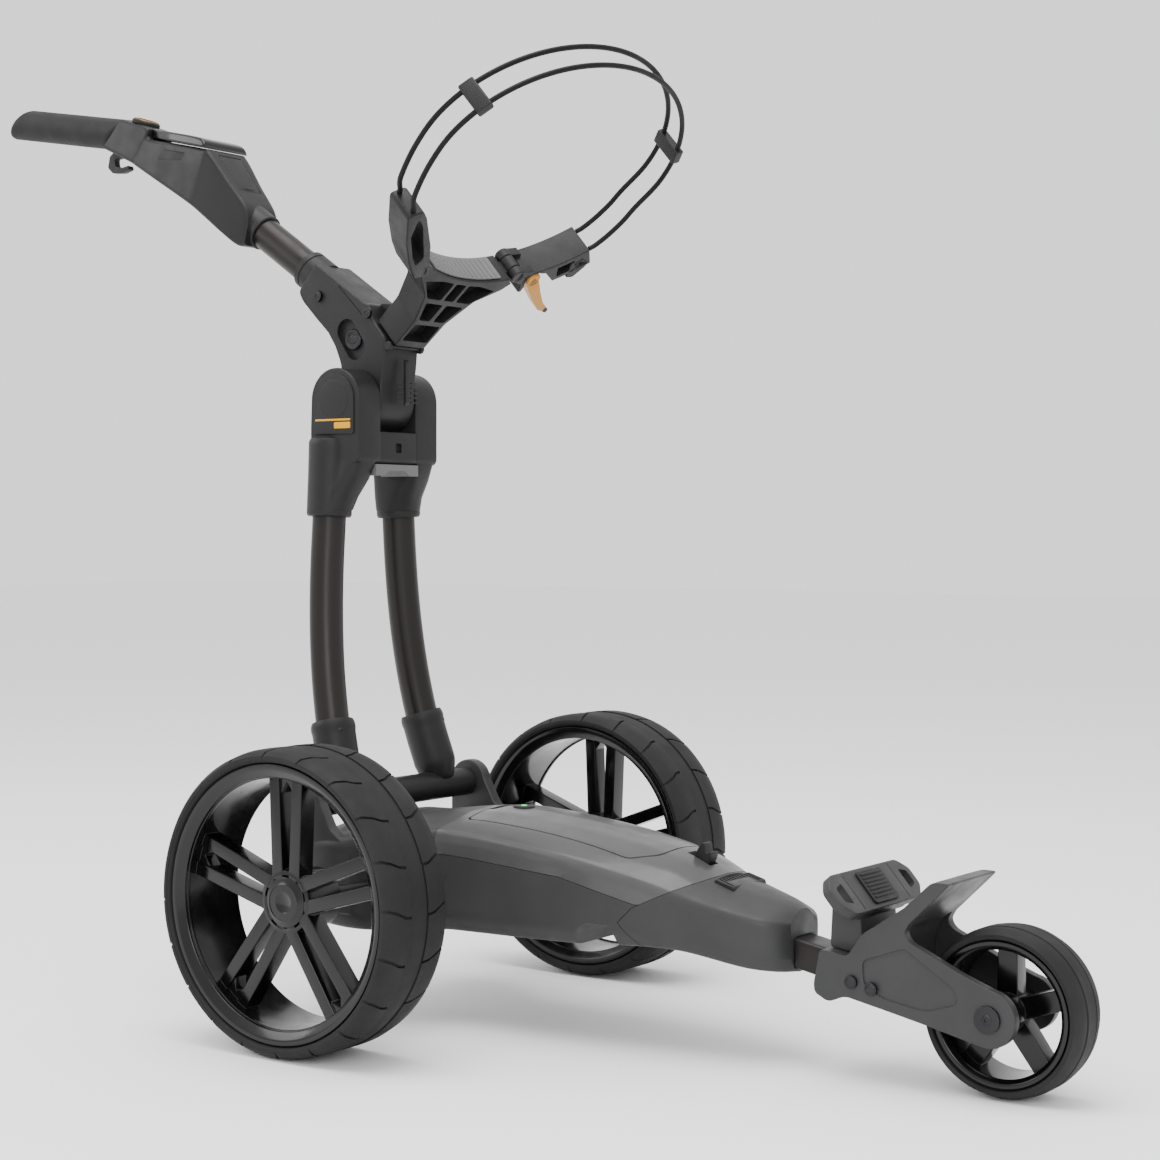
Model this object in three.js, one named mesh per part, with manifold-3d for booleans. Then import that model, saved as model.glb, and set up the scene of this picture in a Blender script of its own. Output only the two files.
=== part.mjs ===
// Electric golf trolley: three wheels, a battery chassis, two curved legs, a folding head with the bag
// cradle,
// and a single handle with its console. Millimetres, +Z up, +X forward, the ground at z = 0.
import * as THREE from "three";
import { mergeVertices, toCreasedNormals } from "three/addons/utils/BufferGeometryUtils.js";
import Module from "manifold-3d";

const wasm = await Module();
wasm.setup();

// ---------- driving dimensions ----------

const GAP = 0.3; // between pieces that touch
const FIT = 0.4; // around a piece that slides or turns
const SIDES = 18; // facets of a small round piece

const REAR_WHEEL = { radius: 145, width: 90, rim: 131, barrel: 124, wall: 6, hub: 27, segments: 36 };
const FRONT_WHEEL = { radius: 75, width: 60, rim: 64, barrel: 60, wall: 4, hub: 17, segments: 28 };
const REAR_AXLE = { x: 0, z: REAR_WHEEL.radius, radius: 6, track: 487 };
const FRONT_AXLE = { x: 611.7, z: FRONT_WHEEL.radius, radius: 5 };

const LEG_HINGE = { x: -95, z: 217, tube: 15, halfLength: 125, ear: 13 };
const HEAD_HINGE = { x: -119, z: 628, radius: 32, pin: 6 };
const LEG = { radius: 17.5, wall: 2, sleeve: 23.5, socket: 22.5 };

const MAST = { radius: 17.5, wall: 2, x: -199, z: 766, pitch: 33.9 }; // a point on its axis, and its slope
const HEAD_HALF = 27.5;
const CONSOLE_HALF = 34;
const GRIP_RADIUS = 18;

const BAG_TILT = 49.07; // the bag leans back by this much from lying flat along +X
const UPPER_CRADLE = { x: 3, z: 748.5, radius: 200, depth: 36, spacing: 26 };
const HOOP = { halfWidth: 175, halfHeight: 130, centre: 155, cord: 2.7 };
const BAG_REST = { x: 479, z: 171.5, half: 76, length: 43 };
const SPINE = { x: 384, z: 108, width: 36, height: 28, wall: 2, pitch: 10.7 };
const FORK_ARM = { inner: 38, outer: 48 };

// Heights and half widths of the chassis along X, from the rear deck to the nose.
const DECK = [
  [-112, 178], [-100, 196], [-60, 199], [30, 211], [80, 214], [185, 204], [280, 186], [325, 168],
  [385, 151], [404, 144]
];
const SHOULDER = [
  [-112, 172], [-100, 184], [-40, 190], [38, 197], [185, 184], [265, 168], [325, 150], [385, 136],
  [404, 132]
];
const BELLY = [[-112, 120], [-90, 100], [50, 96], [185, 98], [291, 101], [366, 89], [390, 87], [404, 86]];
const FLANK = [
  [-112, 134], [-100, 140], [-30, 140], [10, 112], [45, 90], [185, 86], [265, 76], [325, 64], [372, 53],
  [394, 42], [404, 26]
];
const BELT = [[50, 173], [185, 163], [264, 143]]; // where the top shell meets the lower chassis
const CROWN = 9; // how far the deck falls from its middle to the battery's edge

// ---------- finishes ----------

function finish(color, roughness, metalness = 0) {
  return new THREE.MeshStandardMaterial({ color, roughness, metalness });
}

const deckGrey = finish(0x6b6c6d, 0.45, 0.25);
const shellGrey = finish(0x3a3b3c, 0.5, 0.1);
const charcoal = finish(0x2b2c2d, 0.55);
const tubeBrown = finish(0x2f2b2a, 0.35, 0.6);
const rimBlack = finish(0x0c0d0e, 0.15);
const tyreBlack = finish(0x2a2b2c, 0.85);
const linerGrey = finish(0x77787a, 0.5);
const steel = finish(0x4a4b4d, 0.3, 0.9);
const gold = finish(0xc08a22, 0.4, 0.3);
const cordBlack = finish(0x232425, 0.6);

// ---------- geometry helpers ----------

// A closed mesh as a solid for joining and cutting, its faces turned outwards.
function solid(geometry) {
  const bare = geometry.clone();
  bare.deleteAttribute("normal");
  bare.deleteAttribute("uv");
  const merged = mergeVertices(bare, 1e-4);
  const faces = [];
  const index = merged.index.array;
  for (let i = 0; i < index.length; i += 3) {
    const [a, b, c] = index.slice(i, i + 3);
    if (a !== b && b !== c && c !== a) faces.push(a, b, c);
  }
  const vertProperties = new Float32Array(merged.attributes.position.array);
  const build = (triVerts) => new wasm.Manifold(new wasm.Mesh({ numProp: 3, vertProperties, triVerts }));
  const made = build(new Uint32Array(faces));
  return made.volume() > 0 ? made : build(new Uint32Array(faces.reverse()));
}

function geometryOf(manifold) {
  const mesh = manifold.getMesh();
  const geometry = new THREE.BufferGeometry();
  const points = new Float32Array(mesh.numVert * 3);
  for (let i = 0; i < mesh.numVert; i++) {
    points.set(mesh.vertProperties.subarray(i * mesh.numProp, i * mesh.numProp + 3), i * 3);
  }
  geometry.setAttribute("position", new THREE.BufferAttribute(points, 3));
  geometry.setIndex(new THREE.BufferAttribute(new Uint32Array(mesh.triVerts), 1));
  return toCreasedNormals(geometry, 0.6);
}

const join = (first, ...others) => others.reduce((whole, other) => whole.add(other), first);
const cut = (first, ...tools) => tools.reduce((whole, tool) => whole.subtract(tool), first);
const common = (first, ...others) => others.reduce((whole, other) => whole.intersect(other), first);

// A value read off a list of [x, value] pairs.
function along(list, x) {
  const next = list.findIndex(([at]) => at >= x);
  if (next === -1) return list[list.length - 1][1];
  if (next === 0) return list[0][1];
  const [[x0, v0], [x1, v1]] = [list[next - 1], list[next]];
  return v0 + ((v1 - v0) * (x - x0)) / (x1 - x0);
}

function outline(points) {
  return new THREE.Shape(points.map(([u, v]) => new THREE.Vector2(u, v)));
}

function circle(radius, hole = 0, divisions = SIDES) {
  const shape = outline(ringPoints(radius, divisions));
  if (hole) shape.holes.push(outline(ringPoints(hole, divisions)));
  return shape;
}

function ringPoints(radius, divisions) {
  return Array.from({ length: divisions }, (_, i) => {
    const turn = (2 * Math.PI * i) / divisions;
    return [radius * Math.cos(turn), radius * Math.sin(turn)];
  });
}

// Points of an arc about (u, v), in degrees.
function arc(u, v, radius, from, to, steps) {
  return Array.from({ length: steps + 1 }, (_, i) => {
    const turn = THREE.MathUtils.degToRad(from + ((to - from) * i) / steps);
    return [u + radius * Math.cos(turn), v + radius * Math.sin(turn)];
  });
}

function extruded(shape, depth, bevel) {
  return new THREE.ExtrudeGeometry(shape, {
    depth: depth - 2 * bevel,
    bevelEnabled: bevel > 0,
    bevelThickness: bevel,
    bevelSize: bevel,
    bevelOffset: -bevel,
    bevelSegments: 1,
    curveSegments: 8,
  }).translate(0, 0, bevel);
}

// A side outline in (x, z), extruded from one y to another.
function sideSlab(points, yLow, yHigh, bevel = 0) {
  const shape = points instanceof THREE.Shape ? points : outline(points);
  return solid(extruded(shape, yHigh - yLow, bevel).rotateX(Math.PI / 2).translate(0, yHigh, 0));
}

// A plan outline in (x, y), extruded from one z to another.
function planSlab(points, zLow, zHigh, bevel = 0) {
  return solid(extruded(outline(points), zHigh - zLow, bevel).translate(0, 0, zLow));
}

// A front outline in (y, z), extruded from one x to another.
function frontSlab(points, xLow, xHigh, bevel = 0) {
  const turned = extruded(outline(points), xHigh - xLow, bevel).rotateX(Math.PI / 2).rotateZ(Math.PI / 2);
  return solid(turned.translate(xLow, 0, 0));
}

function block(x, y, z) {
  const size = [x, y, z].map(([low, high]) => high - low);
  const middle = [x, y, z].map(([low, high]) => (low + high) / 2);
  return solid(new THREE.BoxGeometry(...size).translate(...middle));
}

// A round bar between two points, with its radius at each end.
function bar(from, to, radius, endRadius = radius, sides = SIDES) {
  const a = new THREE.Vector3(...from);
  const b = new THREE.Vector3(...to);
  const run = b.clone().sub(a);
  const turn = new THREE.Quaternion().setFromUnitVectors(
    new THREE.Vector3(0, 1, 0), run.clone().normalize()
  );
  const geometry = new THREE.CylinderGeometry(endRadius, radius, run.length(), sides).applyQuaternion(turn);
  return solid(geometry.translate(...a.add(b).multiplyScalar(0.5).toArray()));
}

const crossBar = (x, z, yLow, yHigh, radius, sides = SIDES) => bar(
  [x, yLow, z], [x, yHigh, z], radius, radius, sides
);

// A crossBar on one side of the machine, between two distances from its middle plane.
function sideBar(x, z, side, from, to, radius, sides = SIDES) {
  return side > 0 ? crossBar(x, z, from, to, radius, sides) : crossBar(x, z, -to, -from, radius, sides);
}

// A profile of [radius, y] points turned about the Y axis. It closes on itself, or starts and ends on the
// axis.
function turned(profile, segments) {
  const points = profile.map(([r, y]) => new THREE.Vector2(r, y));
  if (profile[0][0] > 0) points.push(points[0].clone());
  return solid(new THREE.LatheGeometry(points, segments));
}

// A section swept along a curve.
function swept(shape, curve, steps) {
  return solid(new THREE.ExtrudeGeometry(shape, { extrudePath: curve, steps, curveSegments: 6 }));
}

function curveThrough(points) {
  return new THREE.CatmullRomCurve3(points.map((p) => new THREE.Vector3(...p)));
}

// A skin stretched over sections of equal point count, each a closed ring of [x, y, z] points.
function lofted(rings) {
  const count = rings[0].length;
  const faces = [];
  for (let i = 0; i + 1 < rings.length; i++) {
    for (let j = 0; j < count; j++) {
      const k = (j + 1) % count;
      const [a, b, c, d] = [i * count + j, i * count + k, (i + 1) * count + j, (i + 1) * count + k];
      faces.push(a, b, c, b, d, c);
    }
  }
  const last = (rings.length - 1) * count;
  for (let j = 1; j + 1 < count; j++) {
    faces.push(0, j + 1, j);
    faces.push(last, last + j, last + j + 1);
  }
  const geometry = new THREE.BufferGeometry();
  geometry.setAttribute("position", new THREE.Float32BufferAttribute(rings.flat(2), 3));
  geometry.setIndex(faces);
  return solid(geometry);
}

const root = new THREE.Group();

function place(name, manifold, material, parent = root) {
  const mesh = new THREE.Mesh(geometryOf(manifold), material);
  mesh.name = name;
  parent.add(mesh);
  return mesh;
}

// A group at (x, z) in the middle plane, pitched nose down by an angle in degrees.
function tilted(x, z, pitch) {
  const group = new THREE.Group();
  group.position.set(x, 0, z);
  group.rotation.y = THREE.MathUtils.degToRad(pitch);
  root.add(group);
  return group;
}

// ---------- wheels, made about the origin with their outer face towards +Y ----------

function tyre(wheel, crown) {
  const { radius, width, rim, barrel, segments } = wheel;
  const half = width / 2;
  const seat = barrel + GAP;
  const side = [[seat, half - 9], [rim + 0.5, half - 8], [rim + 1.5, half - 1.5]];
  const shoulder = crown
    ? [[radius - 5, half - 1], [radius - 1.2, half * 0.62], [radius, half * 0.25]]
    : [[rim + 7, half], [radius - 2.5, half - 4], [radius, half - 14]];
  const outer = [...side, ...shoulder];
  const inner = outer.map(([r, y]) => [r, -y]).reverse();
  return turned([...outer, ...inner], segments);
}

function rimBarrel({ width, rim, barrel, wall, segments }) {
  const half = width / 2;
  const lip = half - 4;
  const flange = half - 8 + GAP;
  const outer = [[barrel - wall, lip - 3], [rim - 3, lip], [rim, lip], [rim, flange], [barrel, flange - 1]];
  const inner = outer.map(([r, y]) => [r, -y]).reverse();
  return turned([...outer, ...inner], segments);
}

function spokes({ barrel, wall }, { near, far, slotNear, slotFar, from, slotFrom, yLow, yHigh }) {
  const reach = barrel - wall / 2;
  const stop = barrel - wall - 5;
  return Array.from({ length: 5 }, (_, i) => {
    const arm = sideSlab([[from, -near], [reach, -far], [reach, far], [from, near]], yLow, yHigh, 1.5);
    const whole = slotNear
      ? cut(
        arm,
        sideSlab([[slotFrom, -slotNear], [stop, -slotFar], [stop, slotFar], [slotFrom, slotNear]], -80, 80)
      )
      : arm;
    return whole.rotate([0, -90 - 72 * i, 0]);
  });
}

function rearRim() {
  const arms = spokes(REAR_WHEEL, {
    near: 15, far: 17.5, slotNear: 6, slotFar: 9.5, from: 10, slotFrom: 40, yLow: 2, yHigh: 22.5,
  });
  const hub = crossBar(0, 0, -30, 22, REAR_WHEEL.hub);
  const recess = crossBar(0, 0, 19, 30, 24.5);
  const bore = crossBar(0, 0, -40, 30, REAR_AXLE.radius + GAP);
  return cut(join(rimBarrel(REAR_WHEEL), hub, ...arms), recess, bore);
}

function frontRim() {
  const arms = spokes(FRONT_WHEEL, { near: 9, far: 7, from: 6, yLow: -9, yHigh: 9 });
  const hub = crossBar(0, 0, -30, 30, FRONT_WHEEL.hub);
  const bore = crossBar(0, 0, -40, 40, FRONT_AXLE.radius + FIT);
  return cut(join(rimBarrel(FRONT_WHEEL), hub, ...arms), bore);
}

function addRearWheel(side, name) {
  const wheel = new THREE.Group();
  wheel.position.set(REAR_AXLE.x, (side * REAR_AXLE.track) / 2, REAR_AXLE.z);
  wheel.rotation.z = side > 0 ? 0 : Math.PI;
  root.add(wheel);
  place(`${name}_tyre`, tyre(REAR_WHEEL, false), tyreBlack, wheel);
  place(`${name}_rim`, rearRim(), rimBlack, wheel);
  const cap = turned([[0, 19.5], [24, 19.5], [24, 22.5], [20, 24.5], [0, 25]], SIDES);
  place(`${name}_hub_cap`, cap, rimBlack, wheel);
  place(`${name}_axle`, crossBar(0, 0, 2 - REAR_AXLE.track / 2, 19, REAR_AXLE.radius), steel, wheel);
}

function addFrontWheel() {
  const wheel = new THREE.Group();
  wheel.position.set(FRONT_AXLE.x, 0, FRONT_AXLE.z);
  root.add(wheel);
  place("front_tyre", tyre(FRONT_WHEEL, true), tyreBlack, wheel);
  place("front_rim", frontRim(), rimBlack, wheel);
  const shaft = crossBar(0, 0, -FORK_ARM.outer - 1, FORK_ARM.outer + 1, FRONT_AXLE.radius);
  const heads = [-1, 1].map((side) => sideBar(0, 0, side, FORK_ARM.outer + GAP, FORK_ARM.outer + 2.5, 12));
  place("front_axle", join(shaft, ...heads), steel, wheel);
}

// ---------- chassis ----------

// One section of the chassis, set in from the skin by a margin.
function section(x, margin) {
  const half = along(FLANK, x) - margin;
  const deck = along(DECK, x) - margin;
  const shoulder = along(SHOULDER, x) - margin;
  const belly = along(BELLY, x) + margin;
  const right = [
    [0.35 * half, deck - CROWN * 0.2],
    [0.7 * half, deck - CROWN],
    [0.96 * half, shoulder],
    [half, shoulder - 10],
    [half, belly + 14],
    [half - 10, belly],
  ];
  const left = right.map(([y, z]) => [-y, z]).reverse();
  return [[0, deck], ...right, ...left].map(([y, z]) => [x, y, z]);
}

function chassisSkin(xLow, xHigh, margin) {
  const between = [...DECK, ...FLANK, ...BELLY].map(([x]) => x).filter((x) => x > xLow && x < xHigh);
  const stations = [...new Set([xLow, ...between, xHigh])].sort((a, b) => a - b);
  return lofted(stations.map((x) => section(x, margin)));
}

const BATTERY = { xLow: 52, xHigh: 268, half: 58, floor: 104, step: 182, shelf: 132 };
const NOSE_SEAM = [[322, 230], [322, 168], [262, 140], [247, 125], [284, 80]];
const behindSeam = (shift) => [[-200, 230], ...NOSE_SEAM.map(([x, z]) => [x + shift, z]), [-200, 80]];
const inFrontOfSeam = (shift) => [[500, 80], [500, 230], ...NOSE_SEAM.map(([x, z]) => [x + shift, z])];

function aboveBelt(shift) {
  return [
    [38, 300], [38, BELT[0][1] + shift], ...BELT.map(([x, z]) => [x, z + shift]), [400, 143 + shift],
    [400, 300]
  ];
}

function batteryOutline(clear) {
  const { xLow, xHigh, half } = BATTERY;
  const [back, front, side] = [xLow - clear, xHigh + clear, half + clear];
  return [
    [back, -side], [front - 22, -side], [front, -side + 26], [front, side - 26], [front - 22, side],
    [back, side]
  ];
}

const batteryProfile = (clear) => [
  [BATTERY.xLow - clear, BATTERY.floor - clear], [BATTERY.step + clear, BATTERY.floor - clear],
  [BATTERY.step + clear, BATTERY.shelf - clear], [BATTERY.xHigh + clear, BATTERY.shelf - clear],
  [BATTERY.xHigh + clear, 260], [BATTERY.xLow - clear, 260],
];

function batteryWell(clear) {
  return common(planSlab(batteryOutline(clear), 90, 260), sideSlab(batteryProfile(clear), -100, 100));
}

const BUTTON = { x: 79, radius: 11, z: 214, depth: 5 };
const CATCH = { x: 294, z: 176, half: 7 };
const CATCH_PIN = { x: CATCH.x, z: CATCH.z - 5, radius: 2.5 };

function addBattery() {
  const pocket = bar([BUTTON.x, 0, BUTTON.z - BUTTON.depth - 2], [BUTTON.x, 0, 240], BUTTON.radius + FIT);
  const finger = block([40, 62], [-26, 26], [203, 240]);
  const pack = common(chassisSkin(0, 330, 0), batteryWell(0));
  place("battery", cut(pack, pocket, finger), deckGrey);
  const cap = turned(
    [[0, -BUTTON.depth], [BUTTON.radius, -BUTTON.depth], [BUTTON.radius, 0.6], [9, 1.2], [0, 1.2]], SIDES
  );
  const button = place("power_button", cap.rotate([90, 0, 0]), charcoal);
  button.position.set(BUTTON.x, 0, BUTTON.z);
}

function addTopShell() {
  const skin = common(
    chassisSkin(38, 330, 0), sideSlab(behindSeam(-GAP / 2), -120, 120),
    sideSlab(aboveBelt(GAP / 2), -120, 120)
  );
  const hollow = common(chassisSkin(42, 276, 4), block([42, 276], [-90, 90], [90, 300]));
  const catchWell = block(
    [CATCH.x - 14, CATCH.x + 12], [-CATCH.half - FIT, CATCH.half + FIT], [CATCH_PIN.z - 6, 240]
  );
  const pinHole = crossBar(CATCH_PIN.x, CATCH_PIN.z, -12, 12, CATCH_PIN.radius + FIT);
  place("top_shell", cut(skin, hollow, batteryWell(FIT), catchWell, pinHole), deckGrey);
}

function addFoldCatch() {
  const hook = sideSlab(
    [[-11, 1], [-5, -8], [5, -8], [9, 1], [12, 8], [12, 12], [6, 10], [5, 20], [1, 20]], -CATCH.half,
    CATCH.half
  );
  const pin = crossBar(0, CATCH_PIN.z - CATCH.z, -11.5, 11.5, CATCH_PIN.radius);
  const catchMesh = place("fold_catch", join(hook, pin), charcoal);
  catchMesh.position.set(CATCH.x, 0, CATCH.z);
}

const DRIVE_BAY = { xLow: -72, xHigh: 34, half: 108, top: 184 };

function pivotEar(side) {
  const { x, z, ear } = LEG_HINGE;
  const profile = [
    ...arc(x, z, 23, 170, 10, 10), [-58, 196], [-30, 176], [-30, 110], [-108, 110], [-118, 160]
  ];
  const [low, high] = side > 0 ? [127, 127 + ear] : [-127 - ear, -127];
  return sideSlab(profile, low, high, 2);
}

function addLowerChassis() {
  const belowBelt = cut(chassisSkin(-112, 330, 0), sideSlab(aboveBelt(-GAP / 2), -150, 150));
  const shell = common(
    join(belowBelt, pivotEar(1), pivotEar(-1)), sideSlab(behindSeam(-GAP / 2), -150, 150)
  );
  const tray = common(
    chassisSkin(46, 330, 4.5),
    sideSlab([[46, 99], [184, 99], [184, 128], [276, 128], [276, 260], [46, 260]], -120, 120)
  );
  const bay = block(
    [DRIVE_BAY.xLow, DRIVE_BAY.xHigh], [-DRIVE_BAY.half, DRIVE_BAY.half], [60, DRIVE_BAY.top]
  );
  const arch = sideSlab([[193, 60], [200, 112], [212, 122], [240, 122], [247, 60]], -150, 150);
  const trough = crossBar(LEG_HINGE.x, LEG_HINGE.z, -126.5, 126.5, 20);
  const legSweep = sideSlab([[-118, 198], [-60, 198], [10, 216], [10, 300], [-118, 300]], -126.5, 126.5);
  const axle = crossBar(REAR_AXLE.x, REAR_AXLE.z, -150, 150, 9);
  const seats = [-1, 1].map((side) => sideBar(REAR_AXLE.x, REAR_AXLE.z, side, 118, 145, 16 + GAP));
  const pins = crossBar(LEG_HINGE.x, LEG_HINGE.z, -150, 150, 7 + GAP);
  place("lower_chassis", cut(shell, tray, bay, arch, trough, legSweep, axle, ...seats, pins), shellGrey);
}

// The square tube under the nose, between two distances along its own axis.
function spineBar(from, to, clear) {
  const width = SPINE.width / 2 + clear;
  const height = SPINE.height / 2 + clear;
  const box = block([from, to], [-width, width], [-height, height]);
  return box.rotate([0, SPINE.pitch, 0]).translate([SPINE.x, 0, SPINE.z]);
}

function addNose() {
  const skin = common(chassisSkin(200, 404, 0), sideSlab(inFrontOfSeam(GAP / 2), -120, 120));
  const hollow = common(
    chassisSkin(255, 330, 4), sideSlab(inFrontOfSeam(-30), -120, 120),
    block([240, 330], [-90, 90], [60, 300])
  );
  const grille = block([324, 346], [-30, 30], [150, 200]);
  place(
    "nose_cover",
    cut(
      skin, hollow, batteryWell(FIT), spineBar(-120, 120, GAP), common(grille, chassisSkin(300, 404, -4))
    ),
    shellGrey
  );
}

function addDrive() {
  const { x, z, radius } = REAR_AXLE;
  const { xLow, xHigh, half } = DRIVE_BAY;
  const cover = block([xLow + GAP, xHigh - GAP], [-half + GAP, half - GAP], [100.5, 104.5]);
  const vents = [-60, -30, 0, 30, 60].map((y) => block([-50, 10], [y - 4, y + 4], [90, 110]));
  place("drive_cover", cut(cover, ...vents), charcoal);
  const box = join(
    crossBar(x, z, -20, 20, 32, 32), crossBar(x - 38, z, -20, 20, 30, 32),
    block([x - 38, x], [-20, 20], [z - 30, z + 30])
  );
  place("gearbox_housing", cut(box, crossBar(x, z, -30, 30, radius + FIT)), charcoal);
  place("drive_motor", crossBar(x - 38, z, 20 + GAP, 95, 28, 32), steel);
  for (const [name, side] of [["right", -1], ["left", 1]]) {
    const race = cut(sideBar(x, z, side, 118 + GAP, 139, 16), crossBar(x, z, -150, 150, radius + GAP));
    place(`${name}_axle_bearing`, race, steel);
  }
}

function addVentGrille() {
  const recess = common(
    block([324 + GAP, 346 - GAP], [-30 + GAP, 30 - GAP], [150, 200]), chassisSkin(300, 404, -3.4)
  );
  const frame = cut(recess, chassisSkin(300, 404, 1));
  const slots = [-24, -16, -8, 0, 8, 16, 24].map(
    (y) => block([327.5, 342.5], [y - 2.5, y + 2.5], [140, 200])
  );
  place("vent_grille", cut(frame, ...slots), charcoal);
}

// ---------- front fork and lower bag rest ----------

const FORK_TOP = [[447, 118], [475, 114], [489, 135], [531, 163], [558, 188], [576, 188], [536, 149]];
const FORK_TAIL = [[515, 70], [473, 78], [456, 71], [442, 78], [441, 86]];
const FORK_BOLTS = [["fork_bolt_rear", 480, 92], ["fork_bolt_front", 500, 88]];

function addFork() {
  const { x, z, radius } = FRONT_AXLE;
  const arm = [
    ...FORK_TOP, [531, 141], [536, 133], [563, 121], [585, 111], ...arc(x, z, 25, 80, -100, 9), [550, 63],
    ...FORK_TAIL
  ];
  const middle = [...FORK_TOP, [526, 141], [520, 120], [520, 72], ...FORK_TAIL];
  const { inner, outer } = FORK_ARM;
  const body = join(
    sideSlab(middle, -inner - 1, inner + 1), sideSlab(arm, inner, outer, 2),
    sideSlab(arm, -outer, -inner, 2)
  );
  const holes = FORK_BOLTS.map(([, bx, bz]) => crossBar(bx, bz, -60, 60, 3 + GAP));
  const shelf = block([557, 577], [-24, 24], [186.5, 189]);
  const bores = crossBar(x, z, -60, 60, radius + GAP);
  place("front_fork", cut(body, spineBar(-60, 127, GAP), ...holes, bores, shelf), shellGrey);
  const tube = cut(spineBar(-98, 126, 0), spineBar(-120, 140, -SPINE.wall), ...holes);
  const nub = bar([470, 0, 98], [471, 0, 108], 4);
  place("front_tube", cut(tube, nub), tubeBrown);
  for (const [name, bx, bz] of FORK_BOLTS) {
    const head = (low, high) => crossBar(bx, bz, low, high, 6, 12);
    const bolt = join(
      crossBar(bx, bz, -52, 52, 3, 12), head(outer + GAP, outer + 3), head(-outer - 3, -outer - GAP)
    );
    place(name, bolt, steel);
  }
}

function addBagRest() {
  const { x, z, half, length } = BAG_REST;
  const rest = tilted(x, z, BAG_TILT);
  const reach = length / 2;
  const wing = [
    [-reach, 40], [-reach, 62], [-reach + 12, half], [reach - 12, half], [reach, 62], [reach, 40]
  ];
  const slot = [[-11, 54], [-7, 67], [7, 67], [11, 54]];
  const mirrored = (points) => points.map(([u, v]) => [u, -v]);
  const pieces = [wing, mirrored(wing)].map((plan) => planSlab(plan, -10, 0, 1.5));
  const openings = [slot, mirrored(slot)].map((plan) => planSlab(plan, -20, 10));
  const back = planSlab([[-reach, -45], [reach, -45], [reach, 45], [-reach, 45]], -14, 0, 1.5);
  const stem = sideSlab(
    [[450, 118], [474, 114.6], [483, 130], [481, 152], [468, 168], [452, 158]], -34, 34, 1.5
  );
  const inRest = stem.translate([-x, 0, -z]).rotate([0, -BAG_TILT, 0]);
  place("bag_rest", cut(join(back, inRest, ...pieces), ...openings), shellGrey, rest);
  const pad = planSlab([[-17, -23], [17, -23], [17, 23], [-17, 23]], GAP, 3.3, 1);
  place("bag_rest_pad", pad, linerGrey, rest);
}

// ---------- legs and yoke ----------

// The bent line of one leg, from inside its foot socket to inside its sleeve: [x, distance from the middle,
// z].
const LEG_LINE = [
  [-101, 76.5, 245], [-108.3, 73.7, 270], [-116.2, 71.2, 300], [-123.9, 68, 340], [-129.1, 64.9, 380],
  [-132.2, 61.9, 420], [-133.6, 59, 460], [-133.7, 56.1, 500], [-133.7, 53.5, 545], [-133.7, 51.8, 585],
];

function legPath(side) {
  return curveThrough(LEG_LINE.map(([x, y, z]) => [x, side * y, z]));
}

function legBore(side) {
  return swept(circle(LEG.radius + GAP, 0, 16), legPath(side), 9);
}

function addLegs() {
  const { x, z, tube, halfLength } = LEG_HINGE;
  const sockets = [-1, 1].map((side) => {
    const foot = bar([-97, side * 78, 226], [-100.5, side * 76.8, 243], 18, LEG.socket);
    const cup = bar([-100.5, side * 76.8, 243], [-115.5, side * 71.5, 295], LEG.socket);
    return join(foot, cup);
  });
  const pinBores = [-1, 1].map((side) => sideBar(x, z, side, 100, 130, 7 + FIT));
  const base = join(crossBar(x, z, -halfLength, halfLength, tube), ...sockets);
  place("leg_base", cut(base, legBore(-1), legBore(1), ...pinBores), charcoal);
  for (const [name, side] of [["right", -1], ["left", 1]]) {
    const tubeSolid = swept(circle(LEG.radius, LEG.radius - LEG.wall, 16), legPath(side), 9);
    place(
      `${name}_leg_tube`, tubeSolid.trimByPlane([0, 0, 1], 246).trimByPlane([0, 0, -1], -584), tubeBrown
    );
    const shaft = sideBar(x, z, side, 102, 141, 7);
    place(`${name}_pivot_bolt`, join(shaft, sideBar(x, z, side, 140 + GAP, 144, 11)), steel);
  }
}

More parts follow.
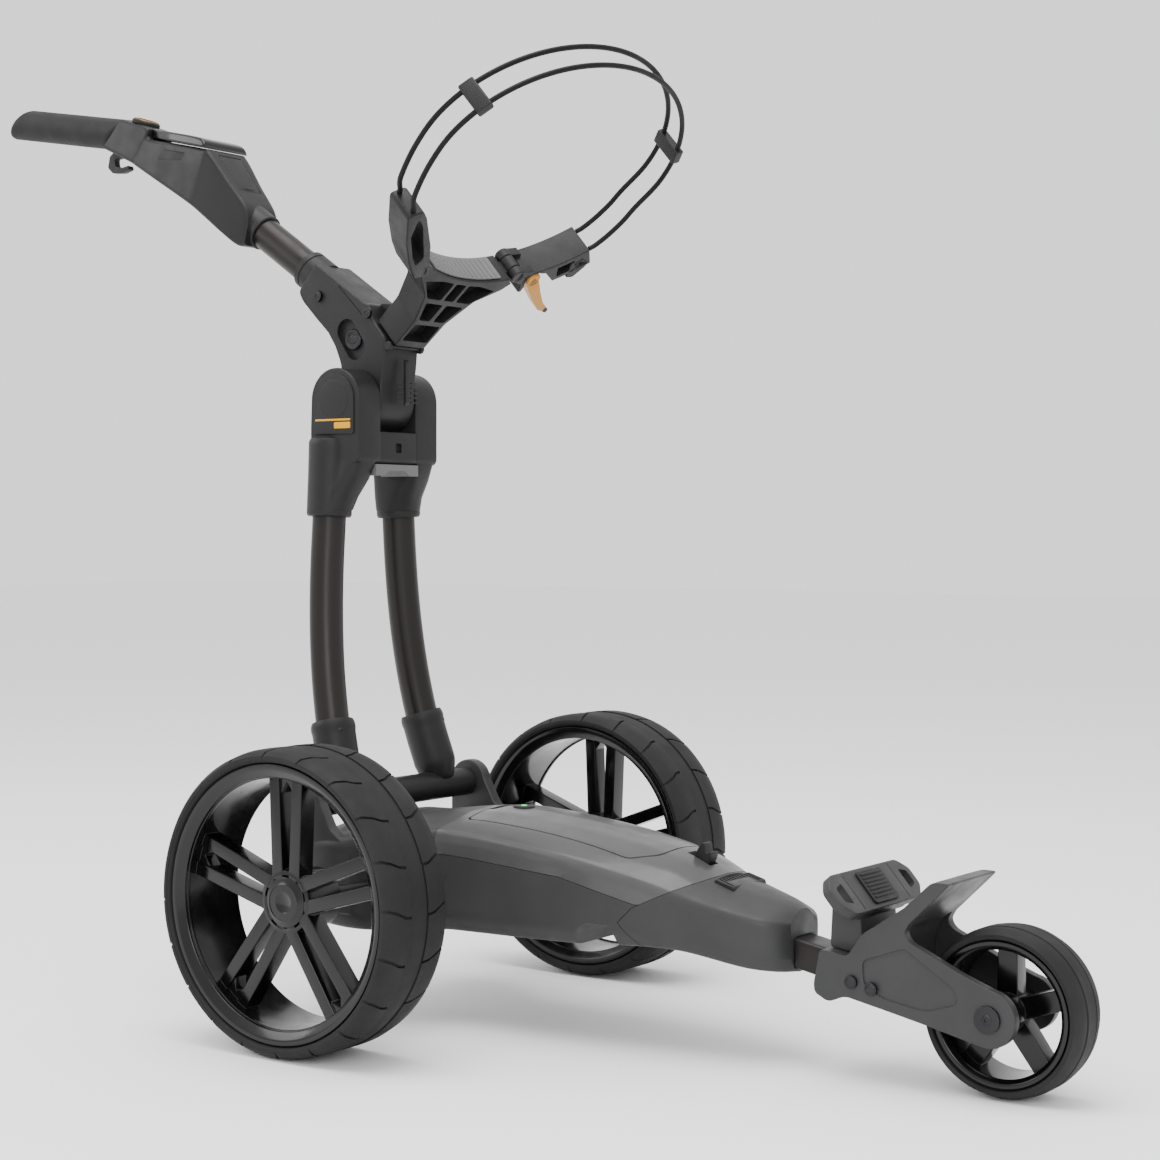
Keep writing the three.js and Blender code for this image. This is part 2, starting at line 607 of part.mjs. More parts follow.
function addYoke() {
  const { x, z, radius, pin } = HEAD_HINGE;
  const cheek = [
    ...arc(x, z, radius + 1, 0, 180, 9), [-153, 600], [-153, 566], [-150, 562], [-90, 562], [-86, 566],
    [-86, 600]
  ];
  const cheeks = [[28.5, 64], [-64, -28.5]].map(([low, high]) => sideSlab(cheek, low, high, 3));
  const sleeves = [-1, 1].map(
    (side) => bar([-133.7, side * 56, 507], [-133.7, side * 51.8, 602], LEG.sleeve)
  );
  const bridge = sideSlab([[-86, 566], [-86, 596], [-130, 572], [-130, 562], [-90, 562]], -30, 30);
  const slot = block([-190, -131], [-28.5, 28.5], [500, 700]);
  const bolts = crossBar(x, z, -70, 70, pin + GAP);
  const capSeats = [[62, 70], [-70, -62]].map(([low, high]) => sideSlab(capOutline(GAP), low, high));
  const drain = block([-90, -80], [-6, 6], [577, 581]);
  const flats = [[64, 90], [-90, -64]].map(([low, high]) => block([-190, -80], [low, high], [586, 700]));
  const cuts = [slot, bolts, legBore(-1), legBore(1), ...capSeats, drain, ...flats];
  const body = cut(join(...cheeks, ...sleeves, bridge), ...cuts);
  place("yoke", body, charcoal);
  const liner = sideSlab([[-128, 550], [-128, 561.7], [-88, 561.7], [-88, 550]], -34, 34);
  const arch = frontSlab([[-40, 520], [-24, 548], [-12, 555], [12, 555], [24, 548], [40, 520]], -140, -80);
  const sleeveRoom = [-1, 1].map(
    (side) => bar([-133.7, side * 56, 507], [-133.7, side * 51.8, 602], LEG.sleeve + GAP)
  );
  place("yoke_liner", cut(liner, arch, ...sleeveRoom), linerGrey);
  for (const [name, side] of [["right", -1], ["left", 1]]) {
    const [low, high] = [side * (62 + GAP), side * 66].sort((a, b) => a - b);
    place(`${name}_yoke_cap`, sideSlab(capOutline(0), low, high, 1), charcoal);
  }
  place("head_pivot_pin", crossBar(x, z, -61.5, 61.5, pin), steel);
}

function capOutline(clear) {
  const { x, z } = HEAD_HINGE;
  return [
    ...arc(x, z, 27 + clear, 0, 180, 9), [x - 27 - clear, 592 - clear], [x + 27 + clear, 592 - clear]
  ];
}

// ---------- head and mast ----------

// A point on the mast: a distance along its axis, and one out from it towards the front.
function onMast(distance, out = 0) {
  const slope = THREE.MathUtils.degToRad(MAST.pitch);
  const [c, s] = [Math.cos(slope), Math.sin(slope)];
  return [MAST.x + distance * c + out * s, 0, MAST.z - distance * s + out * c];
}

const mastBar = (from, to, radius, sides = SIDES) => bar(onMast(from), onMast(to), radius, radius, sides);
const inCradle = (manifold) => manifold.rotate([0, BAG_TILT, 0]).translate(
  [UPPER_CRADLE.x, 0, UPPER_CRADLE.z]
);
const LEVER_PIN = { x: -78.5, z: 684, radius: 2 };
const CLAMP = { x: -174, z: 741 };
const TENSION = { x: -128.5, z: 693 };
const CRADLE_BOLT = { x: -105, z: 720 };

function throughBolt(x, z, reach, radius, head, headRadius) {
  const heads = [[reach, reach + head], [-reach - head, -reach]].map(
    ([low, high]) => crossBar(x, z, low, high, headRadius, 16)
  );
  return join(crossBar(x, z, -reach - 1, reach + 1, radius, 12), ...heads);
}

function addHead() {
  const { x, z, radius, pin } = HEAD_HINGE;
  const [topBack, , topBackZ] = onMast(10, 20);
  const shape = [
    [topBack, topBackZ], [-109, 730], [-103, 729], [-98.3, 712], [-81.3, 692], [-84, 663], [-87, 644],
    ...arc(
      x, z, radius, 0, -200, 10
    ), [-143, 664], [-146, 673], [-152, 687], [-162, 702], [-179, 718], [-198, 737], [-204, 748],
  ];
  const shell = sideSlab(shape, -HEAD_HALF, HEAD_HALF, 4);
  const pinEars = [[23, HEAD_HALF], [-HEAD_HALF, -23]].map(
    ([low, high]) => crossBar(LEVER_PIN.x, LEVER_PIN.z, low, high, 5, 16)
  );
  const stadium = [
    ...arc(TENSION.x - 6, TENSION.z + 9, 13, 33.7, 213.7, 8),
    ...arc(TENSION.x + 6, TENSION.z - 9, 13, 213.7, 393.7, 8),
  ];
  const ovals = [[22, 40], [-40, -22]].map(([low, high]) => sideSlab(stadium, low, high));
  const lugRoom = inCradle(sideSlab([[-62, -84], [-62, -114], [-4, -114], [-4, -84]], -8 - FIT, 8 + FIT));
  const holes = [
    crossBar(x, z, -40, 40, pin + FIT), crossBar(
      LEVER_PIN.x, LEVER_PIN.z, -40, 40, LEVER_PIN.radius + FIT, 12
    ),
    crossBar(CLAMP.x, CLAMP.z, -40, 40, 3 + GAP, 12), crossBar(TENSION.x, TENSION.z, -40, 40, 4 + GAP, 12),
    crossBar(CRADLE_BOLT.x, CRADLE_BOLT.z, -40, 40, 3 + GAP, 12), mastBar(-30, 41, MAST.radius + GAP),
  ];
  const body = join(shell, mastBar(-16, 14, 21.5), ...pinEars);
  place("head_shell", cut(body, ...ovals, lugRoom, ...holes), charcoal);
  place("head_clamp_bolt", throughBolt(CLAMP.x, CLAMP.z, HEAD_HALF + GAP, 3, 3, 6), steel);
  place("tension_bolt", throughBolt(TENSION.x, TENSION.z, 22 + GAP, 4, 3, 11), steel);
  place("cradle_pivot_bolt", throughBolt(CRADLE_BOLT.x, CRADLE_BOLT.z, HEAD_HALF + GAP, 3, 3, 6), steel);
  const clampHole = crossBar(CLAMP.x, CLAMP.z, -40, 40, 3 + GAP, 12);
  place(
    "mast_tube", cut(mastBar(-125, 40, MAST.radius), mastBar(-130, 50, MAST.radius - MAST.wall), clampHole),
    tubeBrown
  );
}

function addFoldLever() {
  const { x, z, radius } = LEVER_PIN;
  const panel = [
    [
      -78.5, 688.5
    ], [-80.2, 685], [-82.2, 676], [-83.5, 664], [-86.5, 644], [-86.5, 620], [-84, 614], [-79, 614],
    [-76, 619], [-75.5, 640], [-75.5, 680], [-76.5, 687],
  ];
  const ridge = sideSlab([[-77, 622], [-77, 672], [-74, 668], [-73.5, 626]], -3, 3);
  const foot = frontSlab(
    [[-22.5, 700], [-22.5, 626], [-14, 613], [14, 613], [22.5, 626], [22.5, 700]], -100, -60
  );
  const lever = join(
    common(sideSlab(panel, -22.5, 22.5, 1), foot), ridge, crossBar(x, z, -27, 27, radius, 12)
  );
  const mesh = place("fold_lever", lever.translate([-x, 0, -z]), charcoal);
  mesh.position.set(x, 0, z);
}

// ---------- console and grip ----------

const FLAP = { x: -343 + 0.597 * 22, z: 923 - 0.802 * 22, length: 50, half: 17, thick: 3 };
const FACE_PITCH = 53.3; // of the console's front face
const DIAL = { x: -464, z: 955.95, radius: 16, pitch: 18.5 };

const consolePlan = [
  [-520, -17.5], [-440, -22], [-380, -CONSOLE_HALF], [-345, -CONSOLE_HALF], [-284, -25], [-250, -22],
  [-250, 22], [-284, 25], [-345, CONSOLE_HALF], [-380, CONSOLE_HALF], [-440, 22], [-520, 17.5],
];

// A solid drawn on the console's front face: x down the face from the flap's hinge, z out of it.
const onFace = (manifold) => manifold.rotate([0, FACE_PITCH, 0]).translate([FLAP.x, 0, FLAP.z]);

function flapOutline(clear) {
  const { length, thick } = FLAP;
  return [
    ...arc(0, -thick / 2, thick / 2 + clear, 90, 270, 4), [length + clear, -thick - clear],
    [length + clear, clear]
  ];
}

function addConsole() {
  const side = [
    [
      -486.7, 963.5
    ], [-440.3, 948], [-440.3, 935.9], [-335.3, 912.1], [-282, 843], [-281, 826], [-285, 803], [-288, 798],
    [-300, 804], [-361, 852], [-406, 876], [-466, 910], [-504, 928], [-517.6, 931.7],
  ];
  const hook = sideSlab([
    [-500, 934], [-512, 930], [-520, 925], [-523, 912], [-515, 905], [-499, 904], [-487, 907], [-489, 912],
    [-501, 910], [-510, 913], [-511, 921], [-500, 922],
  ], -4, 4);
  const shell = common(sideSlab(side, -40, 40), planSlab(consolePlan, 700, 1000, 0));
  const tongue = bar([-490, 0, 946], [-640, 0, 971.8], 10);
  const flapRoom = onFace(sideSlab(flapOutline(FIT), -FLAP.half - FIT, FLAP.half + FIT));
  const port = onFace(block([12, 40], [-11, 11], [-14, 0]));
  const recess = sideSlab([[-420, 924], [-367, 917], [-373, 907], [-414, 912]], 28, 50);
  const body = join(shell, mastBar(-125, -92, 20.5), tongue, hook);
  const boreIn = mastBar(-126, -80, MAST.radius + GAP);
  place("console_housing", cut(body, boreIn, flapRoom, port, recess, recess.mirror([0, 1, 0])), charcoal);
  const lidSide = sideSlab([[-440, 948], [-345, 925], [-335.5, 912.6], [-438, 935.9]], -40, 40);
  const lidPlan = planSlab([
    [-441, -14], [-420, -22], [-372, -33], [-340, -35], [-330, -30],
    [-330, 30], [-340, 35], [-372, 33], [-420, 22], [-441, 14],
  ], 880, 980);
  place("console_lid", common(lidSide, lidPlan), rimBlack);
  const flap = place(
    "port_flap", sideSlab(flapOutline(0), -FLAP.half, FLAP.half).translate([0, 0, FLAP.thick / 2]), charcoal
  );
  const hingeX = FLAP.x - 0.802 * (FLAP.thick / 2);
  const hingeZ = FLAP.z - 0.597 * (FLAP.thick / 2);
  flap.position.set(hingeX, 0, hingeZ);
  flap.rotation.y = THREE.MathUtils.degToRad(FACE_PITCH);
  const knob = turned(
    [[0, GAP], [DIAL.radius, GAP], [DIAL.radius, 4], [13.5, 6], [0, 6]], SIDES
  ).rotate([90, 0, 0]);
  const dial = place("speed_dial", knob, charcoal);
  dial.position.set(DIAL.x, 0, DIAL.z);
  dial.rotation.y = THREE.MathUtils.degToRad(DIAL.pitch);
}

function addGrip() {
  const handle = bar([-700, 0, 982.3], [-470, 0, 942.7], GRIP_RADIUS, GRIP_RADIUS, 28);
  const ends = sideSlab([[-693, 955], [-525.2, 924.4], [-476, 975.2], [-660, 1000]], -30, 30);
  const trim = block([-686.7, -400], [-30, 30], [900, 1100]);
  const bore = bar([-480, 0, 944.3], [-641, 0, 972], 10 + GAP);
  place("grip", cut(common(handle, ends, trim), bore), charcoal);
}

// ---------- upper cradle and strap, drawn in the cradle's own frame: x along the bag, z out of the seat
// ----------

const STRAP_HINGE = { y: 75, z: 15, radius: 8, pin: 3 };
const TOGGLE = { y: 104, z: 13, root: 9, pin: 3 };

// A bar along the bag, at one place in the cradle's section.
const lengthBar = (y, z, xLow, xHigh, radius, sides = 16) => bar(
  [xLow, y, z], [xHigh, y, z], radius, radius, sides
);

// A band of the circle round the bag, between two angles from its lowest point.
function bagBand(inner, outer, from, to, steps = 12) {
  const centre = UPPER_CRADLE.radius;
  return [
    ...arc(0, centre, inner, from - 90, to - 90, steps), ...arc(0, centre, outer, to - 90, from - 90, steps)
  ];
}

const mirror = (points) => points.map(([u, v]) => [-u, v]).reverse();

function addCradle(cradle) {
  const { radius, depth } = UPPER_CRADLE;
  const half = [[24, -99.3], [25, -62], [40, -27], [66, -6], [75, 8]];
  const face = [...half, ...arc(0, radius, radius, -90 + 21, -90 - 21, 12), ...mirror(half)];
  const seat = frontSlab(face, -depth, 0, 1.5);
  const ear = frontSlab([
    [-60, 0], [-66, 9.5], [-88, 36], [-124, 69], [-136, 76.5], [
      -150.5, 65.3
    ], [-124, 33], [-98, 9], [-75, -8],
  ], -depth, 0, 1.5);
  const earWindow = frontSlab(
    [[-136, 68], [-126, 42], [-101, 17.5], [-86, 6], [-84, 22], [-122, 60]], -60, 20
  );
  const knuckle = lengthBar(STRAP_HINGE.y, STRAP_HINGE.z, -25.5, -10.5, STRAP_HINGE.radius);
  const lug = sideSlab(
    [[-34, -70], [-57, -92], [-58, -103], [-49, -109], [-38, -109], [-12, -103], [-8, -90], [-8, -70]], -8,
    8
  );
  const ribs = [
    [[-20, -90], [-20, -66], [20, -66], [20, -90]],
    [[-20, -60], [-30, -36], [-4, -36], [-4, -60]], [[4, -60], [4, -36], [30, -36], [20, -60]],
    [
      [-34, -30], [-56, -8], [-30, -6], [-12, -8], [-12, -30]
    ], [[12, -30], [12, -8], [30, -6], [56, -8], [34, -30]],
  ].map((pocket) => frontSlab(pocket, -14, 10));
  const earRoom = [[-depth - 1, -25.8], [-10.2, 1]].map(([low, high]) =>
    lengthBar(STRAP_HINGE.y, STRAP_HINGE.z, low, high, STRAP_HINGE.radius + 2.5));
  const holes = [
    crossBar(-4.7, -103.8, -40, 40, 6.5),
    lengthBar(STRAP_HINGE.y, STRAP_HINGE.z, -60, 20, STRAP_HINGE.pin + FIT),
    sideSlab(outline(arc(-49.2, -100.2, 3 + GAP, 0, 345, 23)), -20, 20),
  ];
  const body = cut(join(cut(join(seat, ear), ...earRoom), knuckle), earWindow, ...ribs);
  place("upper_cradle", cut(join(body, lug), ...holes), charcoal, cradle);
  const liner = frontSlab(bagBand(radius - 2.3, radius - GAP, -16, 16), -depth + 3, -3);
  place("cradle_liner", liner, linerGrey, cradle);
}

function hoopPath(x) {
  const { halfWidth, halfHeight, centre } = HOOP;
  const round = Array.from({ length: 13 }, (_, i) => {
    const turn = THREE.MathUtils.degToRad(-12 + (204 * i) / 12);
    return [x, halfWidth * Math.cos(turn), centre + halfHeight * Math.sin(turn)];
  });
  const housingEnd = [[x, 155.2, 64.2], [x, 160.5, 70.5], [x, 167, 87]];
  const earEnd = [[x, -158.5, 90], [x, -147.2, 75.6], [x, -144, 71.5]];
  return curveThrough([...housingEnd, [x, 171, 108], ...round, ...earEnd]);
}

const cordSolid = (x, radius) => swept(circle(radius, 0, 8), hoopPath(x), 32);

function addStrap(cradle) {
  const { depth, spacing } = UPPER_CRADLE;
  const { y, z, radius, pin } = STRAP_HINGE;
  const band = frontSlab(bagBand(200.5, 226, 24.5, 48.3, 8), -depth, 0, 1.5);
  const arms = [[-depth, -26], [-10, 0]].map(([low, high]) =>
    join(
      lengthBar(y, z, low, high, radius),
      frontSlab([[75, 8], [75, 22], [92, 26], [100, 4], [84, 6]], low, high)
    ));
  const leverBlock = frontSlab(
    [[140, 44], [150, 24], [160, 26], [166, 44], [164, 52], [150, 56]], -depth, 0, 1
  );
  const window = frontSlab(bagBand(206, 220.5, 37, 43, 4), -60, 20);
  const leverRoom = join(
    lengthBar(TOGGLE.y, TOGGLE.z, -18.5, 10, TOGGLE.root + 1.5),
    frontSlab([[97, 20], [100, -20], [170, -50], [170, -6], [140, 8], [112, 22]], -18.5, 10),
  );
  const holes = [
    lengthBar(y, z, -60, 20, pin + GAP), lengthBar(TOGGLE.y, TOGGLE.z, -32, 10, TOGGLE.pin + FIT)
  ];
  const middle = block([-25.7, -10.3], [60, 86.5], [-10, 40]);
  const body = cut(join(cut(band, middle), ...arms, leverBlock), window, leverRoom, ...holes);
  place("strap_housing", body, charcoal, cradle);
  place("strap_hinge_pin", lengthBar(y, z, -depth + 1, -1, pin), steel, cradle);
  const cords = [-depth + 5, -depth + 5 + spacing];
  place("lower_cord", cordSolid(cords[1], HOOP.cord), cordBlack, cradle);
  place("upper_cord", cordSolid(cords[0], HOOP.cord), cordBlack, cradle);
  for (const [name, side] of [["right", -1], ["left", 1]]) {
    const clip = frontSlab([[-8.5, -5], [8.5, -5], [8.5, 5], [-8.5, 5]], -depth, 0, 1);
    const set = clip.rotate([side * 118, 0, 0]).translate([0, side * 162.6, 203]);
    place(
      `${name}_cord_clip`, cut(set, ...cords.map((x) => cordSolid(x, HOOP.cord + GAP))), charcoal, cradle
    );
  }
}

function addToggle(cradle) {
  const { y, z, root: size, pin } = TOGGLE;
  const arm = frontSlab(
    [[100, 20], [113, 14], [131, -1], [152, -17], [166, -22], [166, -28], [150, -26], [124, -11], [99, 6]],
    -17.5, 0, 1
  );
  const lever = join(arm, lengthBar(y, z, -17.5, 0, size), lengthBar(y, z, -30, -1, pin));
  const mesh = place("strap_lever", lever.translate([0, -y, -z]), gold, cradle);
  mesh.position.set(0, y, z);
}

addRearWheel(-1, "right");
addRearWheel(1, "left");
addFrontWheel();
addLowerChassis();
addTopShell();
addBattery();
addFoldCatch();
addNose();
addVentGrille();
addDrive();
addFork();
addBagRest();
addLegs();
addYoke();
addHead();
addFoldLever();
addConsole();
addGrip();
const cradle = tilted(UPPER_CRADLE.x, UPPER_CRADLE.z, BAG_TILT);
addCradle(cradle);
addStrap(cradle);
addToggle(cradle);

export default root;
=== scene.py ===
# %% [markdown]
# # An electric golf trolley
# This lesson dresses a finished mechanical model. The frame already knows how every joint moves.
# We make the shells, tubes, wheels and straps that people see, and hang each one on its moving body.
# Sizes are typed in millimetres, because that is how a maker thinks, and become metres in one place.

import math

import bmesh
import bpy
from mathutils import Matrix, Vector


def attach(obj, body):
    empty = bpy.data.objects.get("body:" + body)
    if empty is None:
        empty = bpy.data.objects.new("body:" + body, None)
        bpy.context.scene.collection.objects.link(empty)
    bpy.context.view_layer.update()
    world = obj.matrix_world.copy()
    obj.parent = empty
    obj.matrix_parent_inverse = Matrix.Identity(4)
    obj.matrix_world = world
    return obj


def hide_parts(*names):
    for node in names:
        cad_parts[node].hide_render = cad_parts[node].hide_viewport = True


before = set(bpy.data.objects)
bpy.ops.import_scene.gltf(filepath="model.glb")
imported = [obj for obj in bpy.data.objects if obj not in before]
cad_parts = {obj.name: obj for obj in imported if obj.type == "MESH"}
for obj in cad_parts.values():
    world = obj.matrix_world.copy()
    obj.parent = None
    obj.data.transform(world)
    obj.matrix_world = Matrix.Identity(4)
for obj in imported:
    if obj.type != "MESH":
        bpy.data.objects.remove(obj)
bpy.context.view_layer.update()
MM = 0.001

# %% [markdown]
# ## Camera
# The camera stands off the front right of the trolley, about half a metre up. A long lens keeps the wheels round.

# %% Camera
view = bpy.data.cameras.new("camera")
view.lens = 69.16
view.sensor_width = 36
view.clip_end = 50
eye = bpy.data.objects.new("camera", view)
eye.location = (1.43054, -1.79519, 0.49366)
eye.rotation_euler = (math.pi / 2 - 0.0225, -0.0017, 2.1912 - math.pi / 2)
bpy.context.collection.objects.link(eye)
bpy.context.scene.camera = eye
print("camera placed at", tuple(round(c, 2) for c in eye.location))


# %% [markdown]
# ## Materials
# One recipe makes every surface: a base colour with slow blotches, fine grain in the bump, uneven
# roughness, and edges that are rounded and rubbed paler. Only the amounts change from one to the next.


# %% The surface recipe
def surface(
    name, color, rough, metal=0.0, shine=0.2, grain=0.15, size=1400, blotch=0.12, wear=0.25, coat=0.0,
    stretch=(1, 1, 1), edge=0.8
):
    made = bpy.data.materials.new(name)
    made.use_nodes = True
    nodes, links = made.node_tree.nodes, made.node_tree.links
    shader = nodes["Principled BSDF"]
    shader.inputs["Metallic"].default_value = metal
    shader.inputs["Coat Weight"].default_value = coat
    shader.inputs["Specular IOR Level"].default_value = shine
    shader.inputs["Coat Roughness"].default_value = 0.12
    place = nodes.new("ShaderNodeTexCoord")
    mapping = nodes.new("ShaderNodeMapping")
    mapping.inputs["Scale"].default_value = stretch
    links.new(place.outputs["Object"], mapping.inputs["Vector"])

    def noise(scale, detail):
        node = nodes.new("ShaderNodeTexNoise")
        node.inputs["Scale"].default_value = scale
        node.inputs["Detail"].default_value = detail
        links.new(mapping.outputs["Vector"], node.inputs["Vector"])
        return node.outputs["Fac"]

    def ranged(value, low, high, to_low, to_high):
        node = nodes.new("ShaderNodeMapRange")
        for key, number in zip(("From Min", "From Max", "To Min", "To Max"), (low, high, to_low, to_high)):
            node.inputs[key].default_value = number
        links.new(value, node.inputs["Value"])
        return node.outputs["Result"]

    def blended(factor, first, second):
        node = nodes.new("ShaderNodeMix")
        node.data_type = "RGBA"
        links.new(factor, node.inputs["Factor"])
        for socket, value in ((node.inputs[6], first), (node.inputs[7], second)):
            if isinstance(value, tuple):
                socket.default_value = value
            else:
                links.new(value, socket)
        return node.outputs[2]

    base = tuple(color) + (1.0,)
    darker = tuple(c * (1 - blotch) for c in color) + (1.0,)
    paler = tuple(min(1.0, c * 1.35 + 0.018) for c in color) + (1.0,)
    clouds = blended(ranged(noise(14, 4), 0.35, 0.65, 0, 1), base, darker)
    rounded = nodes.new("ShaderNodeBevel")
    rounded.samples = 4
    rounded.inputs["Radius"].default_value = edge * MM
    shape = nodes.new("ShaderNodeNewGeometry")
    facing = nodes.new("ShaderNodeVectorMath")
    facing.operation = "DOT_PRODUCT"
    links.new(rounded.outputs["Normal"], facing.inputs[0])
    links.new(shape.outputs["Normal"], facing.inputs[1])
    rubbed = nodes.new("ShaderNodeMath")
    rubbed.operation = "MULTIPLY"
    links.new(ranged(facing.outputs["Value"], 0.985, 0.8, 0, wear), rubbed.inputs[0])
    links.new(ranged(noise(90, 3), 0.35, 0.6, 0.2, 1), rubbed.inputs[1])
    links.new(blended(rubbed.outputs["Value"], clouds, paler), shader.inputs["Base Color"])
    links.new(
        ranged(noise(45, 5), 0.3, 0.7, max(0.03, rough - 0.07), min(1, rough + 0.08)),
        shader.inputs["Roughness"]
    )
    bump = nodes.new("ShaderNodeBump")
    bump.inputs["Strength"].default_value = grain
    bump.inputs["Distance"].default_value = 0.0004
    links.new(noise(size, 2), bump.inputs["Height"])
    links.new(rounded.outputs["Normal"], bump.inputs["Normal"])
    links.new(bump.outputs["Normal"], shader.inputs["Normal"])
    return made


def glowing(name, color, strength):
    made = surface(name, color, 0.3, grain=0.02)
    shader = made.node_tree.nodes["Principled BSDF"]
    shader.inputs["Emission Color"].default_value = tuple(color) + (1.0,)
    shader.inputs["Emission Strength"].default_value = strength
    return made


DECK_GREY = surface("deck_grey", (0.068, 0.068, 0.069), 0.34, metal=0.25, grain=0.1, size=1800, coat=0.15)
SHELL_GREY = surface("shell_grey", (0.034, 0.034, 0.035), 0.42, grain=0.3, size=1300)
CHARCOAL = surface("charcoal", (0.0115, 0.0115, 0.012), 0.45, grain=0.35, size=1200)
ANODISED = surface(
    "anodised", (0.026, 0.0235, 0.023), 0.36, metal=0.7, grain=0.08, size=900, stretch=(1, 1, 0.05)
)
RIM_BLACK = surface("rim_black", (0.0022, 0.0022, 0.0024), 0.2, shine=0.28, grain=0.02, coat=0.1, blotch=0.2)
TYRE = surface("tyre", (0.013, 0.013, 0.0135), 0.68, grain=0.5, size=700, blotch=0.2)
LINER = surface("liner", (0.12, 0.12, 0.123), 0.55, grain=0.3, size=900)
STEEL = surface("steel", (0.035, 0.035, 0.037), 0.36, metal=1.0, grain=0.06, size=2200)
GOLD = surface("gold", (0.4, 0.17, 0.0), 0.34, metal=0.15, grain=0.08, coat=0.2)
YELLOW = surface("yellow", (0.6, 0.3, 0.0), 0.4, grain=0.08)
CORD = surface("cord", (0.005, 0.005, 0.0055), 0.5, shine=0.15, grain=0.3, size=900)
FOAM = surface("foam", (0.012, 0.012, 0.013), 0.62, grain=0.8, size=520)
GREEN = glowing("green_light", (0.02, 0.75, 0.1), 3.0)
print("materials made:", len(bpy.data.materials))


# %% [markdown]
# ## Drawing tools
# A few small functions draw every piece: rounded outlines made into slabs, profiles turned like wood on a
# lathe, sections swept along a curve, and skins stretched over rings.


# %% Outlines
def arc(u, v, radius, start, end, steps):
    turns = [math.radians(start + (end - start) * i / steps) for i in range(steps + 1)]
    return [(u + radius * math.cos(t), v + radius * math.sin(t)) for t in turns]


def softened(points, radius, steps=5, gentle=14):
    """The outline with its corners rounded, as far as their edges leave room. A point on a gentle curve stays."""
    made = []
    count = len(points)
    for i, point in enumerate(points):
        here = Vector(point)
        before, after = Vector(points[i - 1]) - here, Vector(points[(i + 1) % count]) - here
        if before.angle(-after) < math.radians(gentle):
            made.append(tuple(here))
            continue
        reach = min(radius, before.length * 0.48, after.length * 0.48)
        a, b = here + before.normalized() * reach, here + after.normalized() * reach
        for k in range(steps + 1):
            t = k / steps
            made.append(tuple(a * (1 - t) ** 2 + here * 2 * t * (1 - t) + b * t**2))
    return made


def smooth_at(table, x):
    """A value read from (x, value) pairs along a smooth curve."""
    spots = [p[0] for p in table]
    i = max(0, min(len(table) - 2, next((k for k, s in enumerate(spots) if s >= x), len(spots)) - 1))
    (x0, v0), (x1, v1) = table[i], table[i + 1]
    before, after = table[max(0, i - 1)], table[min(len(table) - 1, i + 2)]
    width = x1 - x0
    t = (x - x0) / width
    slope0 = (v1 - before[1]) / (x1 - before[0])
    slope1 = (after[1] - v0) / (after[0] - x0)
    a, b = 2 * t**3 - 3 * t**2 + 1, t**3 - 2 * t**2 + t
    return a * v0 + b * width * slope0 + (1 - a) * v1 + (t**3 - t**2) * width * slope1


def through(points, count):
    """Many points on a smooth curve through a few."""
    spots = [Vector(p) for p in points]
    made = []
    for i in range(count):
        place = i * (len(spots) - 1) / (count - 1)
        k = min(int(place), len(spots) - 2)
        t = place - k
        a, b, c, d = spots[max(0, k - 1)], spots[k], spots[k + 1], spots[min(len(spots) - 1, k + 2)]
        curve = b * 2 + (c - a) * t + (a * 2 - b * 5 + c * 4 - d) * t * t + (b * 3 - a - c * 3 + d) * t**3
        made.append(curve * 0.5)
    return made


# %% Solids
def skin(rings, closed=False):
    """A closed surface stretched over rings of points. An open run of rings gets a flat cap at each end."""
    mesh = bmesh.new()
    rows = [[mesh.verts.new(Vector(p) * MM) for p in ring] for ring in rings]
    count = len(rows[0])
    pairs = list(zip(rows, rows[1:])) + ([(rows[-1], rows[0])] if closed else [])
    for low, high in pairs:
        for j in range(count):
            k = (j + 1) % count
            mesh.faces.new((low[j], low[k], high[k], high[j]))
    if not closed:
        mesh.faces.new(rows[0])
        mesh.faces.new(rows[-1])
    bmesh.ops.remove_doubles(mesh, verts=mesh.verts, dist=1e-7)
    bmesh.ops.recalc_face_normals(mesh, faces=mesh.faces)
    return mesh


AXES = {"x": lambda u, v, d: (d, u, v), "y": lambda u, v, d: (u, d, v), "z": lambda u, v, d: (u, v, d)}


def slab(points, low, high, axis="y", corner=3, edge=1.5):
    """An outline with rounded corners, given a thickness along one axis, its rims rounded by edge."""
    outline = softened(points, corner) if corner else points
    place = AXES[axis]
    made = skin([[place(u, v, d) for u, v in outline] for d in (low, high)])
    if edge:
        rims = [e for f in made.faces if len(f.verts) > 4 for e in f.edges]
        bmesh.ops.bevel(
            made, geom=list(set(rims)), offset=edge * MM, segments=3, profile=0.6, affect="EDGES",
            clamp_overlap=True
        )
    return made


def turned(profile, sides=72, centre=(0, 0, 0)):
    """A profile of (radius, along) turned about the Y axis. It closes on itself, or ends on the axis."""
    loop = profile[0][0] > 0
    rings = []
    for i in range(sides):
        t = 2 * math.pi * i / sides
        rings.append(
            [(centre[0] + r * math.cos(t), centre[1] + y, centre[2] + r * math.sin(t)) for r, y in profile]
        )
    if loop:
        return skin(rings, closed=True)
    mesh = bmesh.new()
    rows = [[mesh.verts.new(Vector(p) * MM) for p in ring] for ring in rings]
    for i, row in enumerate(rows):
        following = rows[(i + 1) % sides]
        for k in range(len(profile) - 1):
            mesh.faces.new((row[k], row[k + 1], following[k + 1], following[k]))
    bmesh.ops.remove_doubles(mesh, verts=mesh.verts, dist=1e-6)
    bmesh.ops.recalc_face_normals(mesh, faces=mesh.faces)
    return mesh


